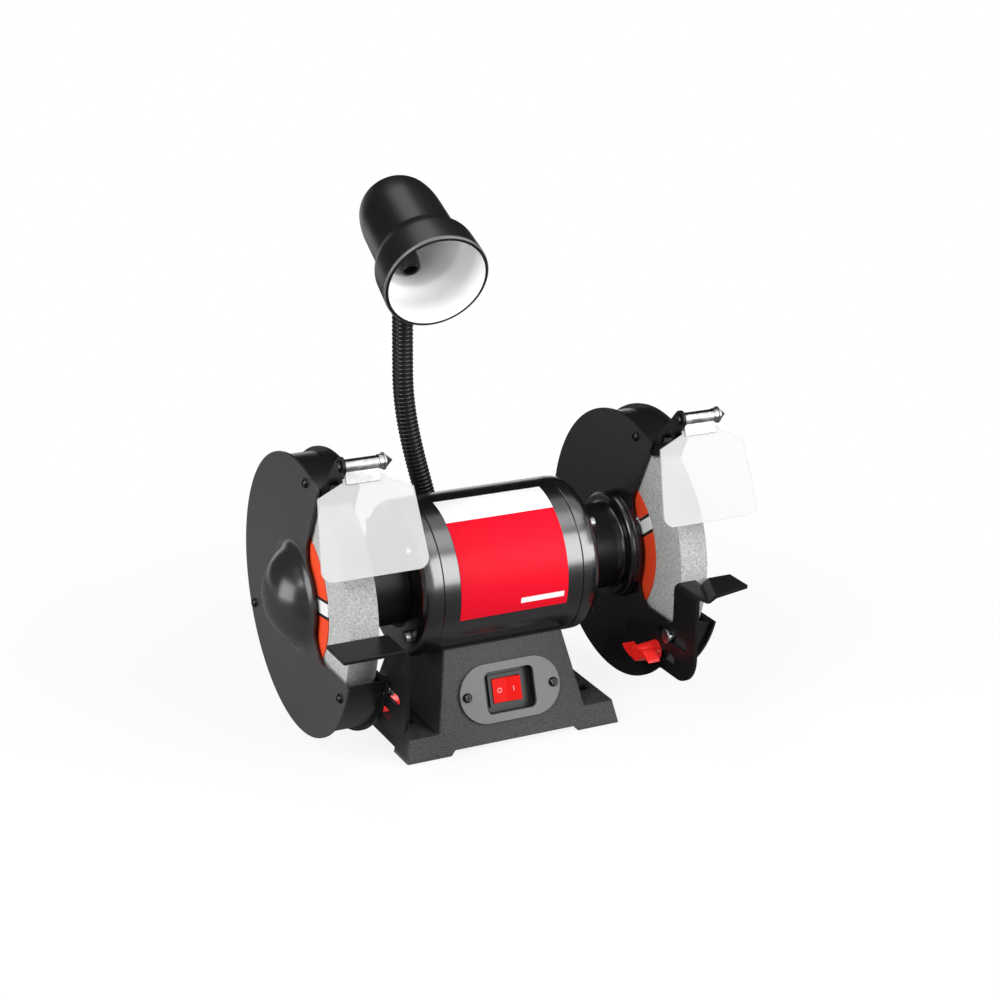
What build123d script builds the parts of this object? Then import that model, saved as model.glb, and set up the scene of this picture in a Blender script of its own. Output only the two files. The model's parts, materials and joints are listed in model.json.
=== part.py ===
from build123d import *
import math
import os

# A 200 mm double-ended bench grinder with a lamp on a flexible neck. Millimetres.
# X runs along the shaft to the right, Y to the rear, Z up. The origin is on the bench, under the base.

# Fits and clearances
FIT = 0.05            # between nested round pieces of one body
RUN = 0.04            # radial running fit of the shaft in its bearings and of pins in their holes
SLIDE = 0.2           # flat face against a sliding flat face
CLEAR = 0.4           # around a moving piece that stands free

# Wheels and what clamps them on the shaft
WHEEL_DIA = 200.0
WHEEL_WIDTH = 25.0
WHEEL_MID = 146.0     # middle plane of a wheel, from the middle of the machine
BUSH_DIA = 32.0
BLOTTER_DIA = 119.0
BLOTTER_THICK = 1.0
CLAMP_DIA = 68.0      # both clamping flanges
CLAMP_INNER_THICK = 8.0
CLAMP_OUTER_THICK = 6.0
NUT_FLATS = 24.0
NUT_THICK = 12.0
THREAD_SHOWS = 3.5    # shaft end beyond the nut
ARBOR_DIA = 16.0

# Guards
GUARD_SHEET = 2.0
GUARD_SIDE_GAP = 3.0  # wheel side to guard plate
GUARD_RIM_GAP = 10.0  # wheel rim to drum
PLATE_LIP = 3.5       # how far the side plates stand past the drum
NOTCH_TOP_DEG = 63.0  # upper edge of the front opening, from straight ahead
NOTCH_BOTTOM = 38.5   # lower edge of the front opening, below the shaft
NOTCH_ROOT = 44.0     # radius the side plates keep around the shaft
NOTCH_FILLET = 18.0
DRUM_SETBACK_DEG = 3.0
DOME_DIA = 100.0      # where the flat of the cover starts to rise into the dome
DOME_FLARE = 14.0     # radius of the hollow round the dome's foot
DOME_GAP = 6.5        # shaft end to the inside of the dome
COVER_SCREW_DEGS = (75.0, 203.5, -29.5)
COVER_BOSS_DIA = 9.0
SCREW_DIA = 3.3
SCREW_HEAD_DIA = 8.0
SCREW_HEAD_THICK = 2.5
GUARD_BOLT_DIA = 5.0
GUARD_BOLT_HEAD = 8.0
GUARD_BOLT_HEAD_THICK = 1.5
GUARD_BOLT_LENGTH = 12.0

# Motor
MOTOR_DIA = 130.0
SHELL_LENGTH = 125.0
SHELL_WALL = 3.5
SEAM_CHAMFER = 0.8
BELL_DEPTH = 11.5
BELL_ROUND = 8.0
BELL_WALL = 4.0
NECK_DIA = 73.0
RING_DIA = 92.0       # ring on the end bell that carries the guard
RING_LENGTH = 11.0
RING_ROUND = 5.0
CLAMP_WELL_GAP = 3.0  # around and behind the inner clamping flange
SHAFT_DIA = 20.0
SHAFT_MID_DIA = 25.0
SHAFT_HOLE_DIA = 28.0
BEARING_DIA = 47.0
BEARING_WIDTH = 14.0
BEARING_AT = 82.0     # inner face of a bearing
STATOR_DEPTH = 30.6   # motor surface to the stator's bore
STACK_LENGTH = 60.0
AIR_GAP = 0.4
WINDING_LENGTH = 17.0
WINDING_INSET = 4.0
WINDING_THICK = 9.0
TIE_DIA = 5.0
TIE_HEAD = 10.0
TIE_HEAD_THICK = 5.5
TIE_INSET = 13.5      # tie rods, in from the motor's surface
LABEL_LENGTH = 96.0
LABEL_THICK = 0.4
LABEL_TOP_DEG = 81.0
LABEL_BOTTOM_DEG = -17.0

# Base casting
FOOT_PROUD = 1.5
FOOT_DIA = 18.0
FOOT_SUNK = 3.0
FOOT_INSET = 13.0     # foot centre, in from the ends and sides
BASE_WIDTH = 194.0
BASE_DEPTH = 139.0
BASE_HEIGHT = 82.0
WING_WIDTH_TOP = 187.0
WING_HEIGHT = 18.5
PEDESTAL_WIDTH_BOTTOM = 134.0
PEDESTAL_WIDTH_TOP = 108.0
FACE_SLOPE = 0.31     # run of the front and back faces for each unit of rise
SADDLE_HALF = 40.3    # half depth of the saddle at the pedestal's top
CAST_WALL = 6.0
CAST_ROUND = 2.0
ARCH_HEIGHT = 4.0     # relief between the corner pads
PAD_LENGTH = 43.0
PAD_DEPTH = 28.0
BENCH_HOLE_DIA = 9.0  # through the rubber bushes
BENCH_BUSH_DIA = 15.0
BENCH_HOLES_X = 162.0
BENCH_HOLES_Y = 60.0
BOTTOM_PLATE_THICK = 1.5
BOTTOM_PLATE_LAP = 8.0
BOTTOM_SCREW_INSET = 4.5
MOTOR_BOLT_DIA = 6.0
MOTOR_BOLT_HEAD = 10.0
MOTOR_BOLT_HEAD_THICK = 4.0
MOTOR_BOLT_CLEAR = 3.0  # bolt head to the end of the hollow

# Switch
SWITCH_RISE = 42.8    # middle of the switch plate above the casting's underside
PLATE_LENGTH = 91.0
PLATE_HEIGHT = 49.0
PLATE_THICK = 2.5
PLATE_SCREW_INSET = 6.3
WINDOW_LENGTH = 45.0
WINDOW_HEIGHT = 35.0
WINDOW_ROUND = 5.0
TRAY_DEPTH = 8.0
TRAY_WALL = 1.5
BEZEL_LENGTH = 32.0
BEZEL_HEIGHT = 27.0
BEZEL_THICK = 2.5
SWITCH_BODY_DEPTH = 20.0
SWITCH_BODY_MARGIN = 1.0
ROCKER_LENGTH = 24.6
ROCKER_HEIGHT = 20.0
ROCKER_DEPTH = 7.0
ROCKER_PROUD = 2.5
ROCKER_TILT = 7.0     # each way from level
ROCKER_PIN_DIA = 3.0
ROCKER_PIN_SHOWS = 1.2

# Capacitor and cord inlet
CAP_DIA = 30.0
CAP_LENGTH = 60.0
CLAMP_BAND = 12.0
CLAMP_SHEET = 1.5
GLAND_DIA = 18.0
GLAND_FLANGE_DIA = 25.0
GLAND_FLANGE_THICK = 3.0
GLAND_SHOWS = 13.0
GLAND_BORE = 8.0
GLAND_X = 30.0
GLAND_RISE = 28.0

# Tool rests
REST_SHEET = 3.0
REST_GAP = 3.0        # wheel rim to table
TABLE_DEPTH = 35.0
TABLE_REACH = 53.0
TABLE_DROP = 1.0      # table top below the shaft
REST_BEND = 5.0
FOOT_BOTTOM = 81.5    # lowest edge of the foot, below the shaft
FOOT_REACH = 109.0    # length of the foot, front to back
FOOT_TOP_FRONT = 35.5
FOOT_TOP_BACK = 58.0
FOOT_FRONT_ROUND = 26.0
FOOT_BACK_ROUND = 11.0
ARM_ROUND = 6.0
REST_OUT = 12.0       # travel away from the wheel
REST_SLOT_SPARE = 24.0
KNOB_Y = -79.0
KNOB_DROP = 68.0
KNOB_BOLT_DIA = 8.0
KNOB_BOLT_HEAD = 11.0
KNOB_BOLT_HEAD_THICK = 2.0
KNOB_HUB_DIA = 17.0
KNOB_HUB_LENGTH = 20.0
KNOB_SPAN = 41.0
KNOB_WING_THICK = 9.0
KNOB_WING_DEPTH = 11.0
KNOB_TURN_DEGS = {"left": 84.0, "right": -20.0}  # as the wings stand when tight
GUIDE_Y = -97.0
GUIDE_DROP = 49.0
GUIDE_DIA = 8.0
GUIDE_HEAD = 12.0
GUIDE_HEAD_THICK = 3.0
SLOT_PLAY = 0.5       # each side of a bolt in its slot
GROOVE_WIDTH = 15.0
GROOVE_DEPTH = 5.0
GROOVE_START = 8.6    # middle of the groove at the table's front edge, out from the arm
GROOVE_SKEW = 14.5
TRIM_DEPTH = 8.0      # slanting cut off the grooved table's outer front corner
TRIM_LENGTH = 33.0

# Spark arrestors and eye shields
ARRESTOR_SHEET = 2.5
ARRESTOR_WIDTH = 27.0
ARRESTOR_GAP = 3.0    # wheel rim to the arrestor's lower edge
ARRESTOR_AHEAD = 50.0 # front face of the tongue ahead of the shaft
ARRESTOR_BEND = 101.0 # bend line above the shaft
ARRESTOR_LENGTH = 35.0
ARRESTOR_LIFT = 6.0   # adjustment away from the wheel
TAB_LENGTH = 22.0
TAB_WIDTH = 22.0
TAB_SCREW_SPACING = 12.0
TAB_SCREW_AT = 11.0   # along the tab from the bend
EAR_DIA = 14.5
PIVOT_AHEAD = 88.5
PIVOT_RISE = 133.5
PIVOT_DIA = 5.0
PIVOT_HEAD = 9.0
PIVOT_HEAD_THICK = 3.0
CLIP_DIA = 10.0
CLIP_LENGTH = 28.0
CLIP_JAW = 9.0
CLIP_SHEET = 1.0
CONE_BASE_DIA = 11.0
CONE_COLLAR = 7.0
CONE_LENGTH = 8.0
SHIELD_SHEET = 2.0
SHIELD_LEAN = 18.5
SHIELD_SHIFT = 1.1    # middle of the shield past the middle of its clip
SHIELD_NECK_WIDTH = 34.0
SHIELD_NECK_START = 5.6
SHIELD_EAR_CLEAR = 9.4  # neck keeps below the arrestor's ear
SHIELD_NECK_LENGTH = 12.0
SHIELD_SHOULDER_WIDTH = 77.5
SHIELD_SHOULDER_AT = 21.5
SHIELD_BOTTOM_WIDTH = 88.5
SHIELD_LENGTH = 84.5
SHIELD_ROUND = 9.0

# Lamp
LAMP_Y = 80.0         # flexible neck behind the motor
LAMP_BOSS_DIA = 32.0
LAMP_BOSS_HEIGHT = 33.0
LAMP_WEB_WIDTH = 24.0
SOCKET_FLATS = 26.0
SOCKET_NUT = 9.0
SOCKET_COLLAR_DIA = 20.0
SOCKET_COLLAR = 4.0
SOCKET_STUD_DIA = 12.0
SOCKET_STUD = 18.0
HOSE_DIA = 18.0
HOSE_ROOT_DIA = 15.2
HOSE_BORE = 9.0
HOSE_PITCH = 3.5
HOSE_LEAN = 34.5      # sideways sweep of the neck
HOSE_BEND_START = 82.5
HOSE_BEND_END = 284.5
HOSE_SPLIT = 196.0    # height where the neck is taken to bend
HOSE_TOP = 354.3
FERRULE_DIA = 21.0
FERRULE_LENGTH = 9.0
SWIVEL_DIA = 8.0
SWIVEL_LENGTH = 12.0
SPIGOT_DIA = 22.0
SHADE_DROP_DEG = 28.5 # how far the mouth looks down
SHADE_TURN_DEG = 0.8  # and to the left
SHADE_BEHIND = 66.7   # from the mouth to where the neck enters
SHADE_WALL = 2.0
SHADE_MOUTH_DIA = 87.4
SHADE_RIM = 3.6
SHADE_SKIRT_DIA = 86.8
SHADE_SKIRT = 20.0    # straight part of the skirt
SHADE_SHOULDER_DIA = 76.0
SHADE_SHOULDER = 38.5
SHADE_STEP = 5.5
SHADE_BODY_DIA = 70.8
SHADE_NECK_DIA = 68.6
SHADE_BODY_END = 88.0
SHADE_CROWN_DIA = 31.0
SHADE_LENGTH = 114.0
HOLDER_DIA = 22.0
HOLDER_LENGTH = 78.0
HOLDER_WALL = 2.0
HOLDER_CUP = 22.0
HOLDER_LEAN = 17.0
CONTACT_DIA = 8.0
CONTACT_THICK = 2.0

# Heights and radii that follow from the sizes above
MOTOR_R = MOTOR_DIA / 2
BASE_TOP = FOOT_PROUD + BASE_HEIGHT
AXIS = BASE_TOP + math.sqrt(MOTOR_R ** 2 - SADDLE_HALF ** 2)
WHEEL_R = WHEEL_DIA / 2
ARBOR_R = ARBOR_DIA / 2
SHAFT_R = SHAFT_DIA / 2
DRUM_IN = WHEEL_R + GUARD_RIM_GAP
DRUM_OUT = DRUM_IN + GUARD_SHEET
GUARD_R = DRUM_OUT + PLATE_LIP
WHEEL_IN = WHEEL_MID - WHEEL_WIDTH / 2
WHEEL_OUT = WHEEL_MID + WHEEL_WIDTH / 2
GUARD_FACE = WHEEL_IN - GUARD_SIDE_GAP - GUARD_SHEET
GUARD_INSIDE = GUARD_FACE + GUARD_SHEET
COVER_INSIDE = WHEEL_OUT + GUARD_SIDE_GAP
COVER_FACE = COVER_INSIDE + GUARD_SHEET
CLAMP_SEAT = WHEEL_IN - BLOTTER_THICK
CLAMP_BACK = CLAMP_SEAT - CLAMP_INNER_THICK
CLAMP_FRONT = WHEEL_OUT + BLOTTER_THICK
NUT_SEAT = CLAMP_FRONT + CLAMP_OUTER_THICK
SHAFT_END = NUT_SEAT + NUT_THICK + THREAD_SHOWS
DOME_HEIGHT = SHAFT_END - COVER_FACE + DOME_GAP + GUARD_SHEET
SHELL_END = SHELL_LENGTH / 2
BELL_FACE = SHELL_END + BELL_DEPTH
TIE_R = MOTOR_R - TIE_INSET
STATOR_BORE = MOTOR_R - STATOR_DEPTH
ROTOR_R = STATOR_BORE - AIR_GAP
WELL_R = CLAMP_DIA / 2 + CLAMP_WELL_GAP
WELL_FACE = CLAMP_BACK - CLAMP_WELL_GAP
COVER_BOSS_R = DRUM_IN - COVER_BOSS_DIA / 2 + GUARD_SHEET / 4
GUARD_BOLT_R = (WELL_R + RING_DIA / 2) / 2
CAVITY_TOP = AXIS - MOTOR_R - CAST_WALL
TABLE_FRONT = -(WHEEL_R + REST_GAP + TABLE_DEPTH)
TABLE_BACK = -(WHEEL_R + REST_GAP)
REST_FACE = GUARD_FACE - SLIDE
REST_BACK = REST_FACE - REST_SHEET
CLIP_START = -ARRESTOR_WIDTH / 2 + ARRESTOR_SHEET + CLEAR
SHIELD_MID = CLIP_START + CLIP_LENGTH / 2 + SHIELD_SHIFT
SIDES = {"left": -1, "right": 1}


def plane_x(x):
    """Upright plane across the shaft: its own x is Y, its own y is height from the shaft."""
    return Plane(origin=(x, 0, AXIS), x_dir=(0, 1, 0), z_dir=(1, 0, 0))


def slab(sketch, x0, x1):
    return extrude(plane_x(x0) * sketch, amount=x1 - x0)


def disc(radius, x0, x1, y=0.0, z=0.0):
    return slab(Pos(y, z) * Circle(radius), x0, x1)


def tube(outer, inner, x0, x1, y=0.0, z=0.0):
    return slab(Pos(y, z) * (Circle(outer) - Circle(inner)), x0, x1)


def hexagon(flats, x0, x1):
    return slab(RegularPolygon(flats / 2, 6, major_radius=False), x0, x1)


def turned(points, rounds=None):
    """Solid of revolution about the shaft line from (x, radius) points, with rounded corners by index."""
    face = make_face(Plane.XZ * Polyline(*points, close=True))
    for i, r in (rounds or {}).items():
        face = fillet(face.vertices().sort_by_distance((points[i][0], 0, points[i][1]))[0], r)
    return Pos(0, 0, AXIS) * revolve(face, axis=Axis.X)


def outline(points, rounds):
    """Flat face from (y, z) points with chosen corners rounded."""
    face = make_face(Polyline(*points, close=True))
    for i, r in rounds.items():
        face = fillet(face.vertices().sort_by_distance((points[i][0], points[i][1], 0))[0], r)
    return face


def ahead(radius, degrees):
    """Point of a guard at an angle above straight ahead."""
    a = math.radians(degrees)
    return (-radius * math.cos(a), radius * math.sin(a))


def both(solid):
    return Compound(children=[solid, mirror(solid, about=Plane.YZ)])


def group(solids):
    return Compound(children=list(solids))


def side(solid, sign):
    return solid if sign > 0 else mirror(solid, about=Plane.YZ)


parts = {}

# Base casting: winged foot and tapered pedestal with a saddle for the motor
half_bottom = BASE_WIDTH / 2
half_wing = WING_WIDTH_TOP / 2
half_low = PEDESTAL_WIDTH_BOTTOM / 2
half_high = PEDESTAL_WIDTH_TOP / 2
wing_top = FOOT_PROUD + WING_HEIGHT
depth_top = BASE_DEPTH / 2 - FACE_SLOPE * BASE_HEIGHT
front_shape = make_face(Polyline(
    (-half_bottom, FOOT_PROUD), (half_bottom, FOOT_PROUD), (half_wing, wing_top), (half_low, wing_top),
    (half_high, BASE_TOP), (-half_high, BASE_TOP), (-half_low, wing_top), (-half_wing, wing_top),
    close=True))
side_shape = make_face(Polyline(
    (-BASE_DEPTH / 2, FOOT_PROUD), (BASE_DEPTH / 2, FOOT_PROUD), (depth_top, BASE_TOP),
    (-depth_top, BASE_TOP), close=True))
base = extrude(Plane.XZ * front_shape, amount=BASE_DEPTH, both=True)
base &= extrude(Plane.YZ * side_shape, amount=BASE_WIDTH, both=True)
upright = base.edges().filter_by(lambda e: abs(e.tangent_at(0.5).Z) > 0.5)
base = fillet(upright, CAST_ROUND)

arch_half = half_bottom - PAD_LENGTH
end_half = BASE_DEPTH / 2 - PAD_DEPTH
cavity_high = half_high - CAST_WALL
cavity_depth = BASE_DEPTH / 2 - CAST_WALL - FACE_SLOPE * WING_HEIGHT
cavity_depth_top = cavity_depth - FACE_SLOPE * (CAVITY_TOP - FOOT_PROUD)
cavity_front = make_face(Polyline(
    (-arch_half, 0), (arch_half, 0), (arch_half, wing_top), (cavity_high, CAVITY_TOP),
    (-cavity_high, CAVITY_TOP), (-arch_half, wing_top), close=True))
cavity_side = make_face(Polyline(
    (-cavity_depth, 0), (cavity_depth, 0), (cavity_depth_top, CAVITY_TOP),
    (-cavity_depth_top, CAVITY_TOP), close=True))
cavity = extrude(Plane.XZ * cavity_front, amount=BASE_DEPTH, both=True)
cavity &= extrude(Plane.YZ * cavity_side, amount=BASE_WIDTH, both=True)

# Lamp boss at the back of the base
boss_top = FOOT_PROUD + LAMP_BOSS_HEIGHT
boss = Pos(0, LAMP_Y, FOOT_PROUD) * Cylinder(
    LAMP_BOSS_DIA / 2, LAMP_BOSS_HEIGHT, align=(Align.CENTER, Align.CENTER, Align.MIN))
boss += Pos(0, cavity_depth, FOOT_PROUD) * Box(
    LAMP_WEB_WIDTH, LAMP_Y - cavity_depth, LAMP_BOSS_HEIGHT, align=(Align.CENTER, Align.MIN, Align.MIN))
base = base + boss - cavity
base -= disc(MOTOR_R + FIT, -BASE_WIDTH, BASE_WIDTH)
stud_hole = SOCKET_STUD + FIT
base -= Pos(0, LAMP_Y, boss_top) * Cylinder(
    SOCKET_STUD_DIA / 2 + FIT, stud_hole, align=(Align.CENTER, Align.CENTER, Align.MAX))

# Relief between the corner pads, along the front and back and along the ends
arch = make_face(Polyline(
    (-arch_half - ARCH_HEIGHT, FOOT_PROUD), (arch_half + ARCH_HEIGHT, FOOT_PROUD),
    (arch_half, FOOT_PROUD + ARCH_HEIGHT), (-arch_half, FOOT_PROUD + ARCH_HEIGHT), close=True))
base -= extrude(Plane.XZ * arch, amount=BASE_DEPTH, both=True)
base -= Pos(0, 0, FOOT_PROUD) * Box(
    2 * BASE_WIDTH, 2 * end_half, ARCH_HEIGHT, align=(Align.CENTER, Align.CENTER, Align.MIN))

# Rubber feet let into the corner pads
foot_x = half_bottom - FOOT_INSET
foot_y = BASE_DEPTH / 2 - FOOT_INSET
feet = []
for x in (-foot_x, foot_x):
    for y in (-foot_y, foot_y):
        low = (Align.CENTER, Align.CENTER, Align.MIN)
        base -= Pos(x, y, FOOT_PROUD) * Cylinder(FOOT_DIA / 2 + FIT, FOOT_SUNK, align=low)
        feet.append(Pos(x, y, 0) * Cylinder(FOOT_DIA / 2, FOOT_PROUD + FOOT_SUNK, align=low))

# Rubber bushes through the wings for bolting the base to a bench
for x in (-BENCH_HOLES_X / 2, BENCH_HOLES_X / 2):
    for y in (-BENCH_HOLES_Y / 2, BENCH_HOLES_Y / 2):
        base -= Pos(x, y, 0) * Cylinder(BENCH_BUSH_DIA / 2 + FIT, 2 * wing_top)
        bush = Circle(BENCH_BUSH_DIA / 2) - Circle(BENCH_HOLE_DIA / 2)
        feet.append(Pos(x, y, 0) * extrude(bush, wing_top))
parts["rubber_feet"] = group(feet)

# Bottom plate under the hollow pedestal, in a rebate above the relief
plate_z = FOOT_PROUD + ARCH_HEIGHT
plate_x = 2 * (arch_half + BOTTOM_PLATE_LAP)
plate_y = 2 * end_half - CLEAR
plate_reach = 2 * (cavity_depth + BOTTOM_PLATE_LAP / 2)
cross = Rectangle(plate_x, plate_y) + Rectangle(2 * arch_half - CLEAR, plate_reach)
rebate = Rectangle(plate_x + CLEAR, plate_y + CLEAR) + Rectangle(2 * arch_half, plate_reach + CLEAR)
base -= extrude(Pos(0, 0, plate_z) * rebate, amount=BOTTOM_PLATE_THICK)
bottom_plate = extrude(Pos(0, 0, plate_z) * cross, amount=BOTTOM_PLATE_THICK)
bottom_screws = []
for x in (-plate_x / 2 + BOTTOM_SCREW_INSET, plate_x / 2 - BOTTOM_SCREW_INSET):
    for y in (-plate_y / 2 + 2 * BOTTOM_SCREW_INSET, plate_y / 2 - 2 * BOTTOM_SCREW_INSET):
        up = (Align.CENTER, Align.CENTER, Align.MIN)
        shank = SCREW_HEAD_THICK + BOTTOM_PLATE_THICK + SCREW_HEAD_DIA
        hole = Pos(x, y, plate_z) * Cylinder(SCREW_DIA / 2 + FIT, shank, align=up)
        bottom_plate -= hole
        base -= hole
        screw = Cylinder(SCREW_HEAD_DIA / 2, SCREW_HEAD_THICK, align=up)
        screw += Cylinder(SCREW_DIA / 2, shank, align=up)
        bottom_screws.append(Pos(x, y, plate_z - SCREW_HEAD_THICK) * screw)
parts["bottom_plate"] = bottom_plate
parts["bottom_plate_screws"] = group(bottom_screws)

# Bolts from inside the pedestal up into the motor shell
shell_floor = AXIS - MOTOR_R + SHELL_WALL
motor_bolts = []
motor_shell = tube(MOTOR_R, MOTOR_R - SHELL_WALL, -SHELL_END, SHELL_END)
bolt_x = cavity_high - MOTOR_BOLT_CLEAR - MOTOR_BOLT_HEAD / 2
for x in (-bolt_x, bolt_x):
    up = (Align.CENTER, Align.CENTER, Align.MIN)
    bolt_length = shell_floor - CAVITY_TOP + SHELL_WALL
    hole = Pos(x, 0, CAVITY_TOP) * Cylinder(MOTOR_BOLT_DIA / 2 + FIT, bolt_length, align=up)
    base -= hole
    motor_shell -= hole
    bolt = Pos(x, 0, CAVITY_TOP) * Cylinder(MOTOR_BOLT_DIA / 2, bolt_length, align=up)
    bolt += Pos(x, 0, CAVITY_TOP) * Cylinder(
        MOTOR_BOLT_HEAD / 2, MOTOR_BOLT_HEAD_THICK, align=(Align.CENTER, Align.CENTER, Align.MAX))
    motor_bolts.append(bolt)
parts["motor_bolts"] = group(motor_bolts)

# Switch on the sloping front: plate, recessed tray, switch body and rocker
switch_z = FOOT_PROUD + SWITCH_RISE
front_y = -BASE_DEPTH / 2 + FACE_SLOPE * SWITCH_RISE
face = Plane(origin=(0, front_y, switch_z), x_dir=(1, 0, 0), z_dir=(0, -1, FACE_SLOPE))


def on_face(sketch, z0, z1):
    """Extrude a sketch drawn on the sloping front between two distances out from it."""
    return extrude(face.offset(z0) * sketch, amount=z1 - z0)


tray_length = WINDOW_LENGTH + 2 * TRAY_WALL
tray_height = WINDOW_HEIGHT + 2 * TRAY_WALL
tray_round = WINDOW_ROUND + TRAY_WALL
tray_floor = -TRAY_DEPTH
window = RectangleRounded(WINDOW_LENGTH, WINDOW_HEIGHT, WINDOW_ROUND)
base -= on_face(RectangleRounded(tray_length + CLEAR, tray_height + CLEAR, tray_round), -2 * TRAY_DEPTH, 0)
plate = SlotOverall(PLATE_LENGTH, PLATE_HEIGHT) - window
screw_at = PLATE_LENGTH / 2 - PLATE_SCREW_INSET
plate_screws = []
for x in (-screw_at, screw_at):
    plate -= Pos(x, 0) * Circle(SCREW_DIA / 2 + FIT)
    base -= on_face(Pos(x, 0) * Circle(SCREW_DIA / 2 + FIT), -CAST_WALL, 0)
    screw = on_face(Pos(x, 0) * Circle(SCREW_DIA / 2), FIT - CAST_WALL, PLATE_THICK + SCREW_HEAD_THICK)
    screw += on_face(Pos(x, 0) * Circle(SCREW_HEAD_DIA / 2), PLATE_THICK, PLATE_THICK + SCREW_HEAD_THICK)
    plate_screws.append(screw)
parts["switch_plate"] = on_face(plate, 0, PLATE_THICK)
parts["switch_plate_screws"] = group(plate_screws)

body_length = BEZEL_LENGTH - 2 * SWITCH_BODY_MARGIN
body_height = BEZEL_HEIGHT - 2 * SWITCH_BODY_MARGIN
tray = on_face(RectangleRounded(tray_length, tray_height, tray_round), tray_floor - TRAY_WALL, 0)
tray -= on_face(window, tray_floor, 0)
tray -= on_face(Rectangle(body_length + 2 * FIT, body_height + 2 * FIT), 2 * tray_floor, 0)
parts["switch_tray"] = tray
rocker_axis = tray_floor + BEZEL_THICK
rocker_well = rocker_axis - ROCKER_DEPTH - CLEAR
body_back = tray_floor - SWITCH_BODY_DEPTH
housing = on_face(RectangleRounded(BEZEL_LENGTH, BEZEL_HEIGHT, WINDOW_ROUND / 4), tray_floor, rocker_axis)
housing += on_face(Rectangle(body_length, body_height), body_back, tray_floor)
housing -= on_face(
    Rectangle(ROCKER_LENGTH + 2 * CLEAR, ROCKER_HEIGHT + 2 * CLEAR), rocker_well, rocker_axis)
pivot = face.offset(tray_floor)
pin_half = ROCKER_HEIGHT / 2 + ROCKER_PIN_SHOWS
pin = Plane(origin=pivot.origin - pivot.y_dir * pin_half, x_dir=(1, 0, 0), z_dir=pivot.y_dir)
housing -= extrude(pin.offset(-RUN) * Circle(ROCKER_PIN_DIA / 2 + RUN), amount=2 * pin_half + 2 * RUN)
parts["switch_body"] = housing
dip = ROCKER_LENGTH / 2 * math.tan(math.radians(ROCKER_TILT))
rocker_edge = ROCKER_PROUD + BEZEL_THICK
rocker_shape = make_face(Polyline(
    (-ROCKER_LENGTH / 2, rocker_edge), (0, rocker_edge - dip), (ROCKER_LENGTH / 2, rocker_edge),
    (ROCKER_LENGTH / 2 - dip, BEZEL_THICK - dip), (ROCKER_PIN_DIA, -ROCKER_DEPTH / 2),
    (-ROCKER_PIN_DIA, -ROCKER_DEPTH / 2), (dip - ROCKER_LENGTH / 2, BEZEL_THICK - dip), close=True))
across = Plane(origin=pivot.origin, x_dir=(1, 0, 0), z_dir=-pivot.y_dir)
rocker = extrude(across * rocker_shape, amount=ROCKER_HEIGHT / 2, both=True)
rocker += extrude(pin * Circle(ROCKER_PIN_DIA / 2), amount=2 * pin_half)
pivot_line = Axis(pivot.origin, pivot.y_dir)
parts["switch_rocker"] = rocker.rotate(pivot_line, -ROCKER_TILT)

# Capacitor strapped to the bottom plate
cap_z = plate_z + BOTTOM_PLATE_THICK + CLAMP_SHEET + CAP_DIA / 2
cap_y = cavity_depth - CAP_DIA
parts["capacitor"] = Pos(0, cap_y, cap_z) * Rot(0, 90, 0) * Cylinder(CAP_DIA / 2, CAP_LENGTH)
strap = Pos(0, cap_y, cap_z) * Rot(0, 90, 0) * Cylinder(CAP_DIA / 2 + CLAMP_SHEET, CLAMP_BAND)
strap += Pos(0, cap_y, plate_z + BOTTOM_PLATE_THICK) * Box(
    CLAMP_BAND, CAP_DIA + 2 * CLAMP_BAND, CLAMP_SHEET, align=(Align.CENTER, Align.CENTER, Align.MIN))
strap -= Pos(0, cap_y, cap_z) * Rot(0, 90, 0) * Cylinder(CAP_DIA / 2 + FIT, CAP_LENGTH)
parts["capacitor_clamp"] = strap

# Cord inlet gland in the sloping back
gland_y = BASE_DEPTH / 2 - FACE_SLOPE * GLAND_RISE
back = Plane(
    origin=(GLAND_X, gland_y, FOOT_PROUD + GLAND_RISE), x_dir=(1, 0, 0), z_dir=(0, 1, FACE_SLOPE))
wall_through = 3 * CAST_WALL
base -= extrude(back.offset(-wall_through) * Circle(GLAND_DIA / 2 + FIT), amount=wall_through)
gland = extrude(back.offset(-wall_through) * Circle(GLAND_DIA / 2), amount=wall_through + GLAND_SHOWS)
gland += extrude(back * Circle(GLAND_FLANGE_DIA / 2), amount=GLAND_FLANGE_THICK)
gland -= extrude(back.offset(-wall_through) * Circle(GLAND_BORE / 2), amount=wall_through + GLAND_SHOWS)
parts["cord_gland"] = gland
parts["base_casting"] = base

# Motor shell and end bells with their bearing seats
seams = motor_shell.edges().filter_by(GeomType.CIRCLE).filter_by(lambda e: e.radius > MOTOR_R - FIT)
motor_shell = chamfer(seams, SEAM_CHAMFER)
parts["motor_shell"] = motor_shell
bell_in = MOTOR_R - SHELL_WALL
ring_face = GUARD_FACE - RING_LENGTH
bell_floor = BELL_FACE - BELL_WALL
seat_r = BEARING_DIA / 2 + FIT
bell = turned(
    [(SHELL_END, bell_in), (SHELL_END, MOTOR_R), (BELL_FACE, MOTOR_R), (BELL_FACE, NECK_DIA / 2),
     (ring_face, NECK_DIA / 2), (ring_face, RING_DIA / 2), (GUARD_FACE, RING_DIA / 2),
     (GUARD_FACE, WELL_R), (WELL_FACE, WELL_R), (WELL_FACE, SHAFT_HOLE_DIA / 2),
     (BEARING_AT + BEARING_WIDTH, SHAFT_HOLE_DIA / 2), (BEARING_AT + BEARING_WIDTH, seat_r),
     (bell_floor, seat_r), (bell_floor, bell_in)],
    {2: BELL_ROUND, 5: RING_ROUND, 1: SEAM_CHAMFER})

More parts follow.
